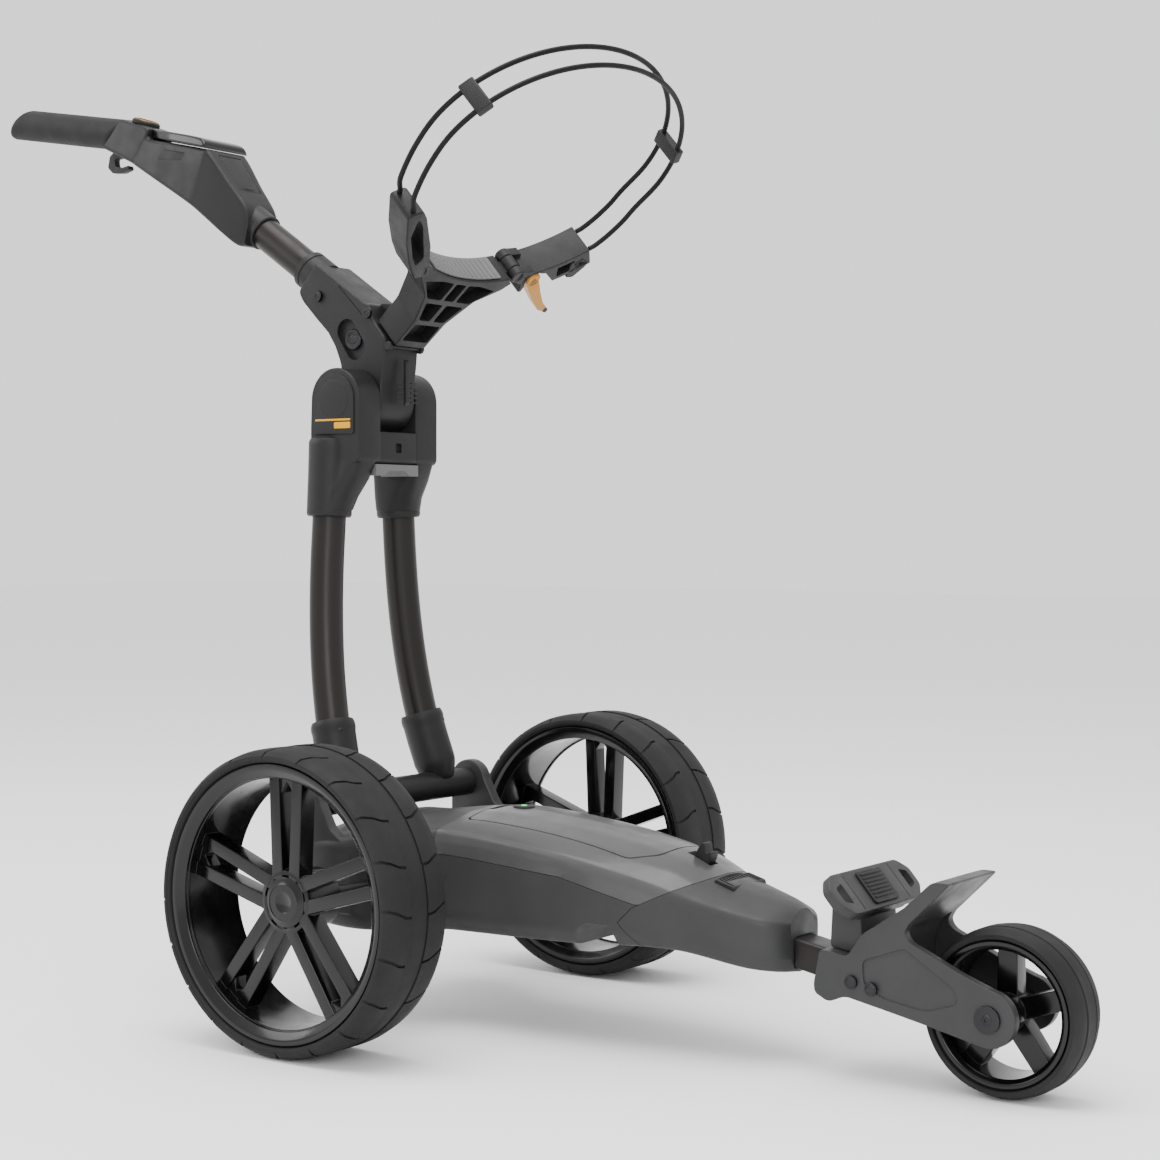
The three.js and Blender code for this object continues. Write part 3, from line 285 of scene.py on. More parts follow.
def swept(path, section, twist_from=Vector((0, 1, 0))):
    """A closed section of (u, v) points, or a function of the distance gone, carried along a path."""
    rings = []
    for i, point in enumerate(path):
        along = (path[min(i + 1, len(path) - 1)] - path[max(i - 1, 0)]).normalized()
        side = along.cross(twist_from).normalized()
        up = side.cross(along)
        shape = section(i / (len(path) - 1)) if callable(section) else section
        rings.append([point + side * u + up * v for u, v in shape])
    return skin(rings)


def ring(radius, sides=36):
    return arc(0, 0, radius, 0, 360 - 360 / sides, sides - 1)


def rod(start, end, radius, sides=36, edge=0.8):
    """A straight round bar with rounded ends."""
    a, b = Vector(start), Vector(end)
    length = (b - a).length
    stops = [(0, radius - edge), (edge, radius), (length - edge, radius), (length, radius - edge)]
    along = (b - a).normalized()
    side = along.orthogonal().normalized()
    up = along.cross(side)
    return skin([[a + along * s + side * u + up * v for u, v in ring(r, sides)] for s, r in stops])


def between(side, near, far):
    """The low and high Y of a piece that lies from near to far out on one side."""
    return sorted((side * near, side * far))


def set_at(x, y, z):
    return Matrix.Translation(Vector((x, y, z)) * MM)


def pitched(degrees):
    return Matrix.Rotation(math.radians(degrees), 4, "Y")


def moved(mesh, matrix):
    mesh.transform(matrix)
    return mesh


def together(*meshes):
    whole = bmesh.new()
    for mesh in meshes:
        holder = bpy.data.meshes.new("part")
        mesh.to_mesh(holder)
        whole.from_mesh(holder)
        bpy.data.meshes.remove(holder)
    return whole


def cut(mesh, *tools, operation="DIFFERENCE"):
    """Exact cutting of one shape by others."""
    target = shown("target", mesh)
    for tool in tools:
        cutter = shown("cutter", tool)
        modifier = target.modifiers.new("cut", "BOOLEAN")
        modifier.operation = operation
        modifier.solver = "EXACT"
        modifier.object = cutter
        flat(target)
        bpy.data.objects.remove(cutter)
    made = bmesh.new()
    made.from_mesh(target.data)
    bpy.data.objects.remove(target)
    return made


def shown(name, mesh):
    data = bpy.data.meshes.new(name)
    mesh.to_mesh(data)
    made = bpy.data.objects.new(name, data)
    bpy.context.collection.objects.link(made)
    return made


def flat(piece):
    """Writes the result of the modifiers into the mesh."""
    graph = bpy.context.evaluated_depsgraph_get()
    graph.update()
    data = bpy.data.meshes.new_from_object(piece.evaluated_get(graph))
    piece.modifiers.clear()
    piece.data = data


def piece(name, mesh, material, body, slot, *nodes, angle=32):
    """The finished object: smooth where it is round, on its body, and standing for its frame nodes."""
    made = shown(name, mesh)
    made.data.materials.clear()
    made.data.materials.append(material)
    made.data.shade_smooth()
    made.data.set_sharp_from_angle(angle=math.radians(angle))
    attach(made, body)
    if nodes:
        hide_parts(*nodes)
    print(name, "rides on", body, "with", len(made.data.polygons), "faces")


# %% [markdown]
# ## Repeats with Geometry Nodes
# Spokes, tread blocks and screws are drawn once. Two node trees repeat them: one turns copies round
# an axle, the other sets a copy on each point of a small mesh and stands it along the point's normal.


# %% The two repeating trees
def tree_named(name, inputs):
    tree = bpy.data.node_groups.new(name, "GeometryNodeTree")
    tree.interface.new_socket("Geometry", in_out="INPUT", socket_type="NodeSocketGeometry")
    for label, kind in inputs:
        tree.interface.new_socket(label, in_out="INPUT", socket_type=kind)
    tree.interface.new_socket("Geometry", in_out="OUTPUT", socket_type="NodeSocketGeometry")
    return tree, tree.nodes.new("NodeGroupInput"), tree.nodes.new("NodeGroupOutput")


def ended(tree, geometry, given, out):
    real = tree.nodes.new("GeometryNodeRealizeInstances")
    coat = tree.nodes.new("GeometryNodeSetMaterial")
    tree.links.new(geometry, real.inputs["Geometry"])
    tree.links.new(real.outputs["Geometry"], coat.inputs["Geometry"])
    tree.links.new(given.outputs["Material"], coat.inputs["Material"])
    tree.links.new(coat.outputs["Geometry"], out.inputs["Geometry"])


def turning_tree():
    tree, given, out = tree_named(
        "copies_round_an_axle", [("Count", "NodeSocketInt"), ("Material", "NodeSocketMaterial")]
    )
    points = tree.nodes.new("GeometryNodePoints")
    copies = tree.nodes.new("GeometryNodeInstanceOnPoints")
    index = tree.nodes.new("GeometryNodeInputIndex")
    share = tree.nodes.new("ShaderNodeMath")
    share.operation = "DIVIDE"
    turn = tree.nodes.new("ShaderNodeMath")
    turn.operation = "MULTIPLY"
    turn.inputs[1].default_value = 2 * math.pi
    spin = tree.nodes.new("ShaderNodeCombineXYZ")
    tree.links.new(given.outputs["Count"], points.inputs["Count"])
    tree.links.new(index.outputs[0], share.inputs[0])
    tree.links.new(given.outputs["Count"], share.inputs[1])
    tree.links.new(share.outputs[0], turn.inputs[0])
    tree.links.new(turn.outputs[0], spin.inputs["Y"])
    tree.links.new(points.outputs[0], copies.inputs["Points"])
    tree.links.new(given.outputs["Geometry"], copies.inputs["Instance"])
    tree.links.new(spin.outputs[0], copies.inputs["Rotation"])
    ended(tree, copies.outputs[0], given, out)
    return tree


def standing_tree():
    tree, given, out = tree_named(
        "a_copy_on_each_point", [("Piece", "NodeSocketObject"), ("Material", "NodeSocketMaterial")]
    )
    source = tree.nodes.new("GeometryNodeObjectInfo")
    copies = tree.nodes.new("GeometryNodeInstanceOnPoints")
    facing = tree.nodes.new("GeometryNodeInputNamedAttribute")
    facing.data_type = "FLOAT_VECTOR"
    facing.inputs["Name"].default_value = "facing"
    align = tree.nodes.new("FunctionNodeAlignRotationToVector")
    align.axis = "Z"
    tree.links.new(given.outputs["Piece"], source.inputs["Object"])
    tree.links.new(given.outputs["Geometry"], copies.inputs["Points"])
    tree.links.new(source.outputs["Geometry"], copies.inputs["Instance"])
    tree.links.new(facing.outputs["Attribute"], align.inputs["Vector"])
    tree.links.new(align.outputs["Rotation"], copies.inputs["Rotation"])
    ended(tree, copies.outputs[0], given, out)
    return tree


TURNING, STANDING = turning_tree(), standing_tree()


def run_tree(host, tree, values):
    modifier = host.modifiers.new("repeat", "NODES")
    modifier.node_group = tree
    for socket in tree.interface.items_tree:
        if socket.in_out == "INPUT" and socket.name in values:
            modifier[socket.identifier] = values[socket.name]
    flat(host)


def copies_round(mesh, count, material):
    """Copies of a shape, turned about the Y axis at even steps."""
    host = shown("copies", mesh)
    run_tree(host, TURNING, {"Count": count, "Material": material})
    made = bmesh.new()
    made.from_mesh(host.data)
    bpy.data.objects.remove(host)
    return made


def copies_on(mesh, spots, material):
    """A copy of a shape, drawn along +Z, on each (point, direction)."""
    source = shown("source", mesh)
    data = bpy.data.meshes.new("points")
    data.from_pydata([Vector(p) * MM for p, _ in spots], [], [])
    facing = data.attributes.new("facing", "FLOAT_VECTOR", "POINT")
    for i, (_, direction) in enumerate(spots):
        facing.data[i].vector = direction
    host = bpy.data.objects.new("points", data)
    bpy.context.collection.objects.link(host)
    run_tree(host, STANDING, {"Piece": source, "Material": material})
    bpy.data.objects.remove(source)
    made = bmesh.new()
    made.from_mesh(host.data)
    bpy.data.objects.remove(host)
    return made


def screw_head(radius):
    """A low domed screw with a six-sided socket, standing on +Z."""
    dome = turned([(0, -1.5), (radius, -1.5), (radius, 0.5), (radius * 0.8, 1.3), (0, 1.5)], 24)
    socket = slab(arc(0, 0, radius * 0.5, 0, 300, 5), 0.4, 4, corner=0, edge=0)
    return moved(cut(dome, socket), Matrix.Rotation(math.pi / 2, 4, "X"))


print("two repeating trees are ready")

# %% [markdown]
# ## Wheels
# The rear tyres are wide and square-shouldered, with hockey-stick blocks along each shoulder. Five twin
# blades hold the gloss black rim. Everything is drawn about the axle, then set in its place.


# %% Rear wheels
REAR_RADIUS = 145
REAR_MIDDLE = 243.5


def tread_block(side):
    """One block: it runs across the shoulder and bends round like a stick."""
    path = [(145, 12, 0), (145, 21, 0.5), (144.7, 30, 2.2), (142.4, 40, 3.6), (138.5, 44.4, 4)]
    rows = []
    for lift in (0, -3.6):
        for radius, across, lean in path:
            row = []
            for step in range(7):
                turn = math.radians(lean + 16.9 * step / 6)
                row.append(((radius + lift) * math.sin(turn), side * across, (radius + lift) * math.cos(turn)))
            rows.append(row)
    count = len(path)
    loops = [rows[i] + rows[count + i][::-1] for i in range(count)]
    return skin(loops)


def rear_tyre():
    side = [
        (124.5, 35), (131.5, 36.5), (133, 43), (137, 44.6), (140.4, 40.6), (142, 31.6), (142.5, 13),
        (144.4, 10.8), (144.8, 0)
    ]
    half = softened(side[1:-1], 2, 3)
    profile = [side[0]] + [p for p in half if p[1] > 0] + [side[-1]]
    whole = profile + [(r, -y) for r, y in profile[::-1]][1:]
    return turned(whole, 120)


def rear_rim():
    lip = [(118, 36), (126, 40.6), (131, 41), (131, 37.6), (124, 35.8)]
    profile = softened(lip + [(r, -y) for r, y in lip[::-1]], 1.2, 3)
    blade = [(20, 3.6), (20, 17), (119, 21), (119, 8.2), (48, 5)]
    blades = []
    for side in (-1, 1):
        outline = [(side * across, along) for along, across in blade]
        blades.append(slab(outline, 3, 22.5, corner=2, edge=1.8))
    web = slab(
        [(-17, 108), (-9, 100), (0, 113), (9, 100), (17, 108), (18, 120), (-18, 120)], 6, 20, corner=2, edge=1.2
    )
    spokes = copies_round(together(*blades, web), 5, RIM_BLACK)
    hub = turned(
        [(6.6, -29), (20, -29), (28, -24), (31, 14), (29.6, 22.2), (26, 23), (24.4, 19.2), (6.6, 19.2)], 64
    )
    bead = turned(softened([(117, 33), (119, 33), (119, 30), (117, 30)], 0.5, 2), 96)
    return together(turned(profile, 120), spokes, hub, bead)


def hub_cap():
    return turned(
        [
            (0, 24.2), (9, 24.6), (10, 25.2), (17, 25), (18, 24.2), (21, 23.8), (23.6, 22.8), (24, 21.8),
            (24, 19.6), (0, 19.6)
        ],
        64
    )


blocks = together(*(copies_round(tread_block(side), 20, TYRE) for side in (1, -1)))
for name, side in (("right", -1), ("left", 1)):
    home = set_at(0, REAR_MIDDLE * side, REAR_RADIUS) @ Matrix.Rotation(0 if side > 0 else math.pi, 4, "Z")
    body = f"{name}_wheel"
    piece(
        f"{name}_rubber", moved(together(rear_tyre(), blocks), home), TYRE, body, "tyre_rubber", f"{name}_tyre"
    )
    piece(f"{name}_wheel_rim", moved(rear_rim(), home), RIM_BLACK, body, "rim_black", f"{name}_rim")
    piece(f"{name}_centre_cap", moved(hub_cap(), home), RIM_BLACK, body, "rim_black", f"{name}_hub_cap")


# %% Front wheel
FRONT_AXLE = (611.7, 0, 75)


def front_tyre():
    side = [
        (60.5, 20), (64.6, 22), (66, 27.5), (70, 28.6), (73.6, 19), (74.6, 11.2), (73.4, 10.4), (73.4, 9),
        (75, 8.2), (75, 0)
    ]
    return turned(side + [(r, -y) for r, y in side[::-1]][1:], 96, centre=FRONT_AXLE)


def front_rim():
    lip = [(56, 22), (60, 26), (64, 26.4), (64, 23), (60, 21)]
    barrel = turned(softened(lip + [(r, -y) for r, y in lip[::-1]], 1, 3), 96)
    spoke = slab([(-10, 9), (-9, 57), (9, 57), (10, 9)], -9, 9, corner=1.5, edge=2.2)
    hub = turned([(5.6, -29), (14, -29), (17, -24), (17, 24), (14, 29), (5.6, 29)], 48)
    return moved(together(barrel, copies_round(spoke, 5, RIM_BLACK), hub), set_at(*FRONT_AXLE))


piece("front_rubber", front_tyre(), TYRE, "front_wheel", "tyre_rubber", "front_tyre")
piece("front_wheel_rim", front_rim(), RIM_BLACK, "front_wheel", "rim_black", "front_rim")

# %% [markdown]
# ## The chassis shells
# One smooth skin runs from the rear deck to the nose. It is cut along its seams into the deck, the dark
# lower shell, the nose and the battery, so the seams line up by themselves.

# %% The skin and its seams
DECK = [
    (-112, 178), (-100, 196), (-60, 199), (30, 211), (80, 214), (185, 204), (280, 186), (325, 168), (385, 151),
    (404, 144)
]
SHOULDER = [
    (-112, 172), (-100, 184), (-40, 190), (38, 197), (185, 184), (265, 168), (325, 150), (385, 136), (404, 132)
]
BELLY = [(-112, 120), (-90, 100), (50, 96), (185, 98), (291, 101), (366, 89), (390, 87), (404, 86)]
FLANK = [
    (-112, 134), (-100, 140), (-30, 140), (10, 112), (45, 90), (185, 86), (265, 76), (325, 64), (372, 53),
    (394, 42), (404, 26)
]
SEAM = [(322, 230), (322, 168), (262, 140), (247, 125), (284, 80)]
BELT = [(38, 173), (50, 173), (185, 163), (264, 143), (400, 143)]


def body_ring(x, inset=0.0):
    half, deck = smooth_at(FLANK, x) - inset, smooth_at(DECK, x) - inset
    shoulder, belly = smooth_at(SHOULDER, x) - inset, smooth_at(BELLY, x) + inset
    right = [
        (0.35 * half, deck - 1.8), (0.7 * half, deck - 9), (0.965 * half, shoulder), (half, shoulder - 9),
        (half * 0.985, belly + 16), (half - 12, belly)
    ]
    outline = right + [(-y, z) for y, z in right[::-1]]
    smooth = softened([(0, deck)] + outline, 7, 5, gentle=0)
    return [(x, y, z) for y, z in smooth]


def body_skin(low, high, inset=0.0):
    stops = max(3, round((high - low) / 6))
    return skin([body_ring(low + (high - low) * i / stops, inset) for i in range(stops + 1)])


def seam_tool(shift, rear):
    edge = [(x + shift, z) for x, z in SEAM]
    far = [(-200, 230)] + edge + [(-200, 80)] if rear else [(500, 80), (500, 230)] + edge
    return slab(far, -150, 150, corner=0, edge=0)


def belt_tool(shift):
    return slab([(38, 300)] + [(x, z + shift) for x, z in BELT] + [(400, 300)], -150, 150, corner=0, edge=0)


def battery_tool(clear, low=90):
    a, b, w = 52 - clear, 268 + clear, 58 + clear
    plan = softened([(a, -w), (b - 22, -w), (b, -w + 26), (b, w - 26), (b - 22, w), (a, w)], 9)
    return slab(plan, low, 260, axis="z", corner=0, edge=0)


def box_tool(x, y, z):
    return slab([(x[0], z[0]), (x[1], z[0]), (x[1], z[1]), (x[0], z[1])], y[0], y[1], corner=0, edge=0)


deck = cut(body_skin(38, 330), seam_tool(-0.4, True), belt_tool(0.3), operation="INTERSECT")
catch_slot = box_tool((280, 306), (-7.5, 7.5), (165, 260))
deck = cut(deck, body_skin(42, 276, 4), battery_tool(1.6), catch_slot)
piece("deck_shell", deck, DECK_GREY, "chassis", "deck_grey", "top_shell")

whole = body_skin(-112, 330)
lower = cut(cut(whole, belt_tool(-0.3)), seam_tool(-0.4, True), operation="INTERSECT")
arch = slab([(193, 60), (200, 112), (212, 122), (240, 122), (247, 60)], -150, 150, corner=6, edge=0)
bay = box_tool((-72, 34), (-108, 108), (60, 184))
trough = rod((-95, -126.5, 217), (-95, 126.5, 217), 20, 48, 0.1)
sweep = slab([(-125, 198), (-60, 198), (10, 216), (10, 300), (-125, 300)], -126.5, 126.5, corner=0, edge=0)
tray = cut(
    body_skin(46, 300, 4.5),
    slab([(46, 99), (184, 99), (184, 128), (276, 128), (276, 260), (46, 260)], -120, 120, corner=0, edge=0),
    operation="INTERSECT"
)
axle_hole = rod((0, -160, 145), (0, 160, 145), 16.3, 40, 0.1)
lower = cut(lower, tray, bay, arch, trough, sweep, axle_hole)
ears = []
for side in (-1, 1):
    shape = arc(-95, 217, 23.5, 170, 10, 20) + [(-58, 196), (-30, 176), (-30, 112), (-106, 112), (-118, 160)]
    ears.append(slab(shape, *between(side, 127, 140.6), corner=4, edge=3))
ribs = [
    slab([(x, 112), (x + 3, 112), (x + 3, 150), (x, 150)], *between(s, 139, 141), edge=0.6) for s in (-1, 1)
    for x in (-92, -84, -76)
]
piece("lower_shell", together(lower, *ears, *ribs), SHELL_GREY, "chassis", "shell_grey", "lower_chassis")


TUBE_PITCH = 10.7


def square_tube(low, high, clear):
    """The tube between the body and the fork, made larger by a clearance when it is used as a cutter."""
    w, h = 18 + clear, 14 + clear
    outline = softened([(-w, -h), (w, -h), (w, h), (-w, h)], 5, 4)
    turn = set_at(384, 0, 108) @ pitched(TUBE_PITCH)
    return moved(skin([[(x, u, v) for u, v in outline] for x in (low, high)]), turn)


nose = cut(body_skin(200, 404), seam_tool(0.4, False), operation="INTERSECT")
grille_well = box_tool((324, 346), (-30, 30), (164, 220))
nose = cut(nose, square_tube(-80, 130, 0.4), grille_well)
piece("nose_shell", nose, SHELL_GREY, "chassis", "shell_grey", "nose_cover")
piece(
    "front_square_tube", cut(square_tube(-98, 126, 0), square_tube(-120, 140, -2)), ANODISED, "chassis",
    "anodised_tube", "front_tube"
)

slats = []
for number in range(11):
    y = -26 + 5.2 * number
    slats.append(slab([(326, 163), (344, 158), (344, 160.6), (326, 166.4)], y - 1.3, y + 1.3, edge=0.5))
frame_bar = cut(
    slab([(324.5, 160), (345.5, 154), (345.5, 161), (324.5, 167)], -29.6, 29.6, edge=0.6),
    box_tool((327, 343), (-27, 27), (140, 200))
)
piece("nose_grille", together(frame_bar, *slats), CHARCOAL, "chassis", "charcoal_plastic", "vent_grille")

# %% [markdown]
# ## Battery, button and catch
# The battery shares the deck's skin, so its top runs on from the deck with only a gap round it. The button has
# a small green light. The catch stands up through a slot in the deck.

# %% Battery, its button, and the small catch
pack = cut(body_skin(45, 290), battery_tool(0, 103), operation="INTERSECT")
step = box_tool((182, 300), (-90, 90), (60, 132))
pocket = rod((79, 0, 205), (79, 0, 240), 11.5, 40, 0.1)
grip_hole = slab(
    softened([(38, -24), (60, -24), (60, 24), (38, 24)], 6), 203.5, 240, axis="z", corner=0, edge=0
)
piece("battery_pack", cut(pack, step, pocket, grip_hole), DECK_GREY, "battery", "deck_grey", "battery")


def stood(mesh, x, z, pitch=0.0):
    """A shape turned about Y, stood up along Z and set on the middle plane."""
    return moved(mesh, set_at(x, 0, z) @ pitched(pitch) @ Matrix.Rotation(math.pi / 2, 4, "X"))


button = turned([(0, 0.9), (3.4, 0.9), (3.6, 1.4), (8.4, 1.5), (10.2, 1.0), (11, 0), (11, -5), (0, -5)], 48)
piece("start_button", stood(button, 79, 214), CHARCOAL, "power_button", "charcoal_plastic", "power_button")
light = turned([(0, 1.5), (2.6, 1.45), (3.2, 1.0), (3.2, 0.6), (0, 0.6)], 32)
piece("start_light", stood(light, 79, 214), GREEN, "power_button", "charcoal_plastic")
hook = slab(
    [
        (283, 177), (291, 168), (299, 168), (303, 177), (306, 184), (306, 188), (300, 186), (299, 196),
        (295, 196)
    ],
    -6.8, 6.8, corner=3, edge=1.5
)
piece(
    "deck_catch", together(hook, rod((294, -11, 171), (294, 11, 171), 2.5, 20)), CHARCOAL, "fold_catch",
    "charcoal_plastic", "fold_catch"
)

# %% [markdown]
# ## Fork and lower bag rest
# The fork is a web with one plate on each side, and its horn stops the foot of the bag. Each is an outline with
# a thickness, because the real mouldings are flat-sided. The rest is drawn flat, then tilted to the bag's slope.

# %% Fork
FORK_TOP = [(447, 118), (475, 114), (489, 135), (531, 163), (558, 188), (576, 188), (536, 149)]
FORK_TAIL = [(515, 70), (473, 78), (456, 71), (442, 78), (441, 86)]
arm = FORK_TOP + [
    (531, 141), (536, 133), (563, 121), (585, 111)
] + arc(611.7, 75, 25, 80, -100, 18) + [(550, 63)] + FORK_TAIL
middle = FORK_TOP + [(526, 141), (520, 120), (520, 72)] + FORK_TAIL
parts = [slab(middle, -39, 39, corner=4, edge=1)] + [
    slab(arm, *between(s, 38, 48), corner=5, edge=2.4) for s in (-1, 1)
]
parts[0] = cut(parts[0], square_tube(-60, 127, 0.4))
inset = [(490, 112), (532, 128), (556, 112), (580, 98), (584, 84), (552, 74), (512, 80), (492, 90)]
arms = [cut(parts[1 + k], slab(inset, *between(s, 46.6, 60), corner=6, edge=0)) for k, s in enumerate((-1, 1))]
piece("fork", together(parts[0], *arms), SHELL_GREY, "chassis", "shell_grey", "front_fork")

BAG_TILT = 49.07
REST = set_at(479, 0, 171.5) @ pitched(BAG_TILT)
back = slab([(-21.5, -46), (21.5, -46), (21.5, 46), (-21.5, 46)], -14, 0, axis="z", corner=4, edge=2)
wings = []
for side in (-1, 1):
    plan = [(u, v * side) for u, v in [(-21.5, 40), (-21.5, 62), (-9.5, 76), (9.5, 76), (21.5, 62), (21.5, 40)]]
    hole = [(u, v * side) for u, v in [(-11, 54), (-7, 67), (7, 67), (11, 54)]]
    wings.append(
        cut(slab(plan, -10, 0, axis="z", corner=5, edge=2), slab(hole, -20, 10, axis="z", corner=3, edge=0))
    )
stem = slab(
    [(450, 118), (474, 114.6), (483, 130), (481, 152), (468, 168), (452, 158)], -34, 34, corner=4, edge=2
)
piece(
    "bag_foot_rest", together(moved(together(back, *wings), REST), stem), SHELL_GREY, "chassis", "shell_grey",
    "bag_rest"
)
pad = slab([(-17, -23), (17, -23), (17, 23), (-17, 23)], 0.3, 2.2, axis="z", corner=4, edge=0.8)
pad_ribs = []
for x in range(-14, 14, 4):
    rib = [(x, -19), (x + 2, -19), (x + 2, 19), (x, 19)]
    pad_ribs.append(slab(rib, 1.5, 3.2, axis="z", corner=0.8, edge=0.4))
piece(
    "foot_rest_pad", moved(together(pad, *pad_ribs), REST), CHARCOAL, "chassis", "liner_rubber", "bag_rest_pad"
)

# %% [markdown]
# ## Legs and yoke
# The two tubes bow gently from wide feet to a narrow yoke, like a tuning fork. A round section swept along a
# curve keeps the tube even. The yoke's arms change from square to round on the way down, so they are a skin.

# %% Legs
LEG_LINE = [
    (-101, 76.5, 245), (-108.3, 73.7, 270), (-116.2, 71.2, 300), (-123.9, 68, 340), (-129.1, 64.9, 380),
    (-132.2, 61.9, 420), (-133.6, 59, 460), (-133.7, 56.1, 500), (-133.7, 53.5, 545), (-133.7, 51.8, 585)
]
def cup_section(t):
    """The foot cup widens, carries a raised band near its mouth, and ends in a rounded lip."""
    band_height = 0.7 if 0.86 < t < 0.95 else 0
    lip = 1 if t > 0.98 else 0
    return ring(17 + 5.5 * min(1, t * 3.2) + band_height - lip, 48)


feet = [rod((-95, -125, 217), (-95, 125, 217), 15, 48, 1.5)]
for name, side in (("right", -1), ("left", 1)):
    line = [(x, side * y, z) for x, y, z in LEG_LINE]
    piece(
        f"{name}_bent_tube", swept(through(line, 60), ring(17.5, 48)), ANODISED, "legs", "anodised_tube",
        f"{name}_leg_tube"
    )
    cup = [
        Vector((-97, side * 78, 224)), Vector((-100.5, side * 76.8, 243)), Vector((-108, side * 74, 268)),
        Vector((-115.5, side * 71.5, 295))
    ]
    spots = through(cup, 24)
    feet.append(swept(spots, cup_section))
piece("leg_feet", together(*feet), CHARCOAL, "legs", "charcoal_plastic", "leg_base")

# %% Yoke
turn_steps = [math.radians(6 * step) for step in range(60)]


def bend(value, power):
    """Squares a circle off: 2 leaves it round, 6 makes it nearly a box."""
    return math.copysign(abs(value) ** (2 / power), value)


# Each ring of an arm: its middle (x, y, z), its two half widths, and how square it is.
YOKE_ARM = [
    (-119.5, 46.3, 592, 33, 17.4, 6),
    (-119.8, 46.6, 566, 33.2, 17.8, 5),
    (-124, 48.6, 546, 29.5, 19.2, 3.6),
    (-130.5, 51.8, 528, 25.2, 21.8, 2.5),
    (-133.4, 54.8, 514, 23.7, 23.7, 2),
]
HEAD_HINGE = (-119, 628)
cheek = arc(*HEAD_HINGE, 33, 0, 180, 24) + [
    (-153, 600), (-153, 566), (-150, 562), (-90, 562), (-86, 566), (-86, 600)
]
yoke = [slab(cheek, a, b, corner=5, edge=5) for a, b in ((28.5, 64), (-64, -28.5))]
for side in (-1, 1):
    spots = through([(-133.7, side * 56, 507), (-133.7, side * 53.6, 550), (-133.7, side * 52.2, 590)], 20)
    sleeve = swept(
        spots, lambda t: ring(23.5 - (1.2 if t < 0.02 else 0) - 7 * max(0, (t - 0.9) / 0.1) ** 2, 48)
    )
    yoke.append(cut(sleeve, box_tool((-190, -131), (-28.5, 28.5), (500, 700))))
    arm_rings = []
    for x, y, z, a, b, power in YOKE_ARM:
        arm_rings.append(
            [
                (x + a * bend(math.cos(t), power), side * (y + b * bend(math.sin(t), power)), z)
                for t in turn_steps
            ]
        )
    yoke.append(skin(arm_rings))
yoke.append(
    slab([(-86.5, 566), (-86.5, 596), (-129.5, 572), (-129.5, 562), (-90, 562)], -30, 30, corner=2, edge=1)
)
recess = slab(softened([(-5, 574), (5, 574), (5, 584), (-5, 584)], 2), -90, -83, axis="x", corner=0, edge=0)
yoke[-1] = cut(yoke[-1], recess)
piece("yoke_body", together(*yoke), CHARCOAL, "legs", "charcoal_plastic", "yoke")
for name, side in (("right", -1), ("left", 1)):
    badge = arc(*HEAD_HINGE, 27, 0, 180, 24) + [(-146, 592), (-92, 592)]
    disc = slab(badge, *between(side, 62.3, 65.6), corner=3, edge=1)
    raised = slab(arc(*HEAD_HINGE, 20, 0, 350, 35), *between(side, 65, 66), corner=0, edge=0.5)
    piece(
        f"{name}_side_badge", together(disc, raised), CHARCOAL, "legs", "charcoal_plastic", f"{name}_yoke_cap"
    )
    stripe = slab(
        [(-144, 606), (-96, 606), (-96, 608), (-144, 608)], *between(side, 65.4, 66), corner=0.4, edge=0.2
    )
    tag = slab(
        [(-118, 598), (-96, 598), (-96, 604.5), (-118, 604.5)], *between(side, 65.4, 66), corner=1.2, edge=0.2
    )
    piece(f"{name}_yellow_stripe", together(stripe, tag), YELLOW, "legs", "gold_plastic")

# %% [markdown]
# ## Head, mast and fold lever
# The head is one thick moulding that holds the mast tube and turns in the yoke. A side outline with softened
# rims gives it, and its oval recesses are cut in. The lever on its front lies flat until it is pulled.

# %% Head
SLOPE = math.radians(33.9)


def on_mast(distance, out=0.0, y=0.0):
    return (
        -199 + distance * math.cos(SLOPE) + out * math.sin(SLOPE), y,
        766 - distance * math.sin(SLOPE) + out * math.cos(SLOPE)
    )


top = on_mast(10, 20)
shape = [(top[0], top[2]), (-109, 730), (-103, 729), (-98.3, 712), (-81.3, 692), (-84, 663), (-87, 644)]
shape += arc(*HEAD_HINGE, 32, 0, -200, 20) + [
    (-143, 664), (-146, 673), (-152, 687), (-162, 702), (-179, 718), (-198, 737), (-204, 748)
]
head = slab(shape, -27.5, 27.5, corner=5, edge=5)
stadium = arc(-134.5, 702, 13, 33.7, 213.7, 16) + arc(-122.5, 684, 13, 213.7, 393.7, 16)
ovals = [slab(stadium, *between(side, 22, 40), corner=0, edge=0) for side in (1, -1)]
grooves = [
    slab(
        [(-146, 749.5), (-145, 750.5), (-112.5, 718.5), (-113.5, 717.5)], *between(s, 26.7, 40), corner=0,
        edge=0
    )
    for s in (-1, 1)
]
head = cut(head, *ovals, *grooves)
collar_path = [Vector(on_mast(s)) for s in (-16, -15, -9, -8.5, -7, -6.5, 14)]
radii = [20.2, 21.5, 21.5, 20.6, 20.6, 21.5, 21.5]
collar = skin(
    [
        [p + Vector((math.sin(SLOPE), 0, math.cos(SLOPE))) * u + Vector((0, 1, 0)) * v for u, v in ring(r, 48)]
        for p, r in zip(collar_path, radii)
    ]
)
lever_ears = [rod((-78.5, s * 23, 684), (-78.5, s * 27.5, 684), 5, 28, 0.8) for s in (-1, 1)]
piece("head_casting", together(head, collar, *lever_ears), CHARCOAL, "head", "charcoal_plastic", "head_shell")
mast_spots = [Vector(on_mast(s)) for s in (-124, -40, 30)]
piece("mast", swept(mast_spots, ring(17.5, 56)), ANODISED, "head", "anodised_tube", "mast_tube")

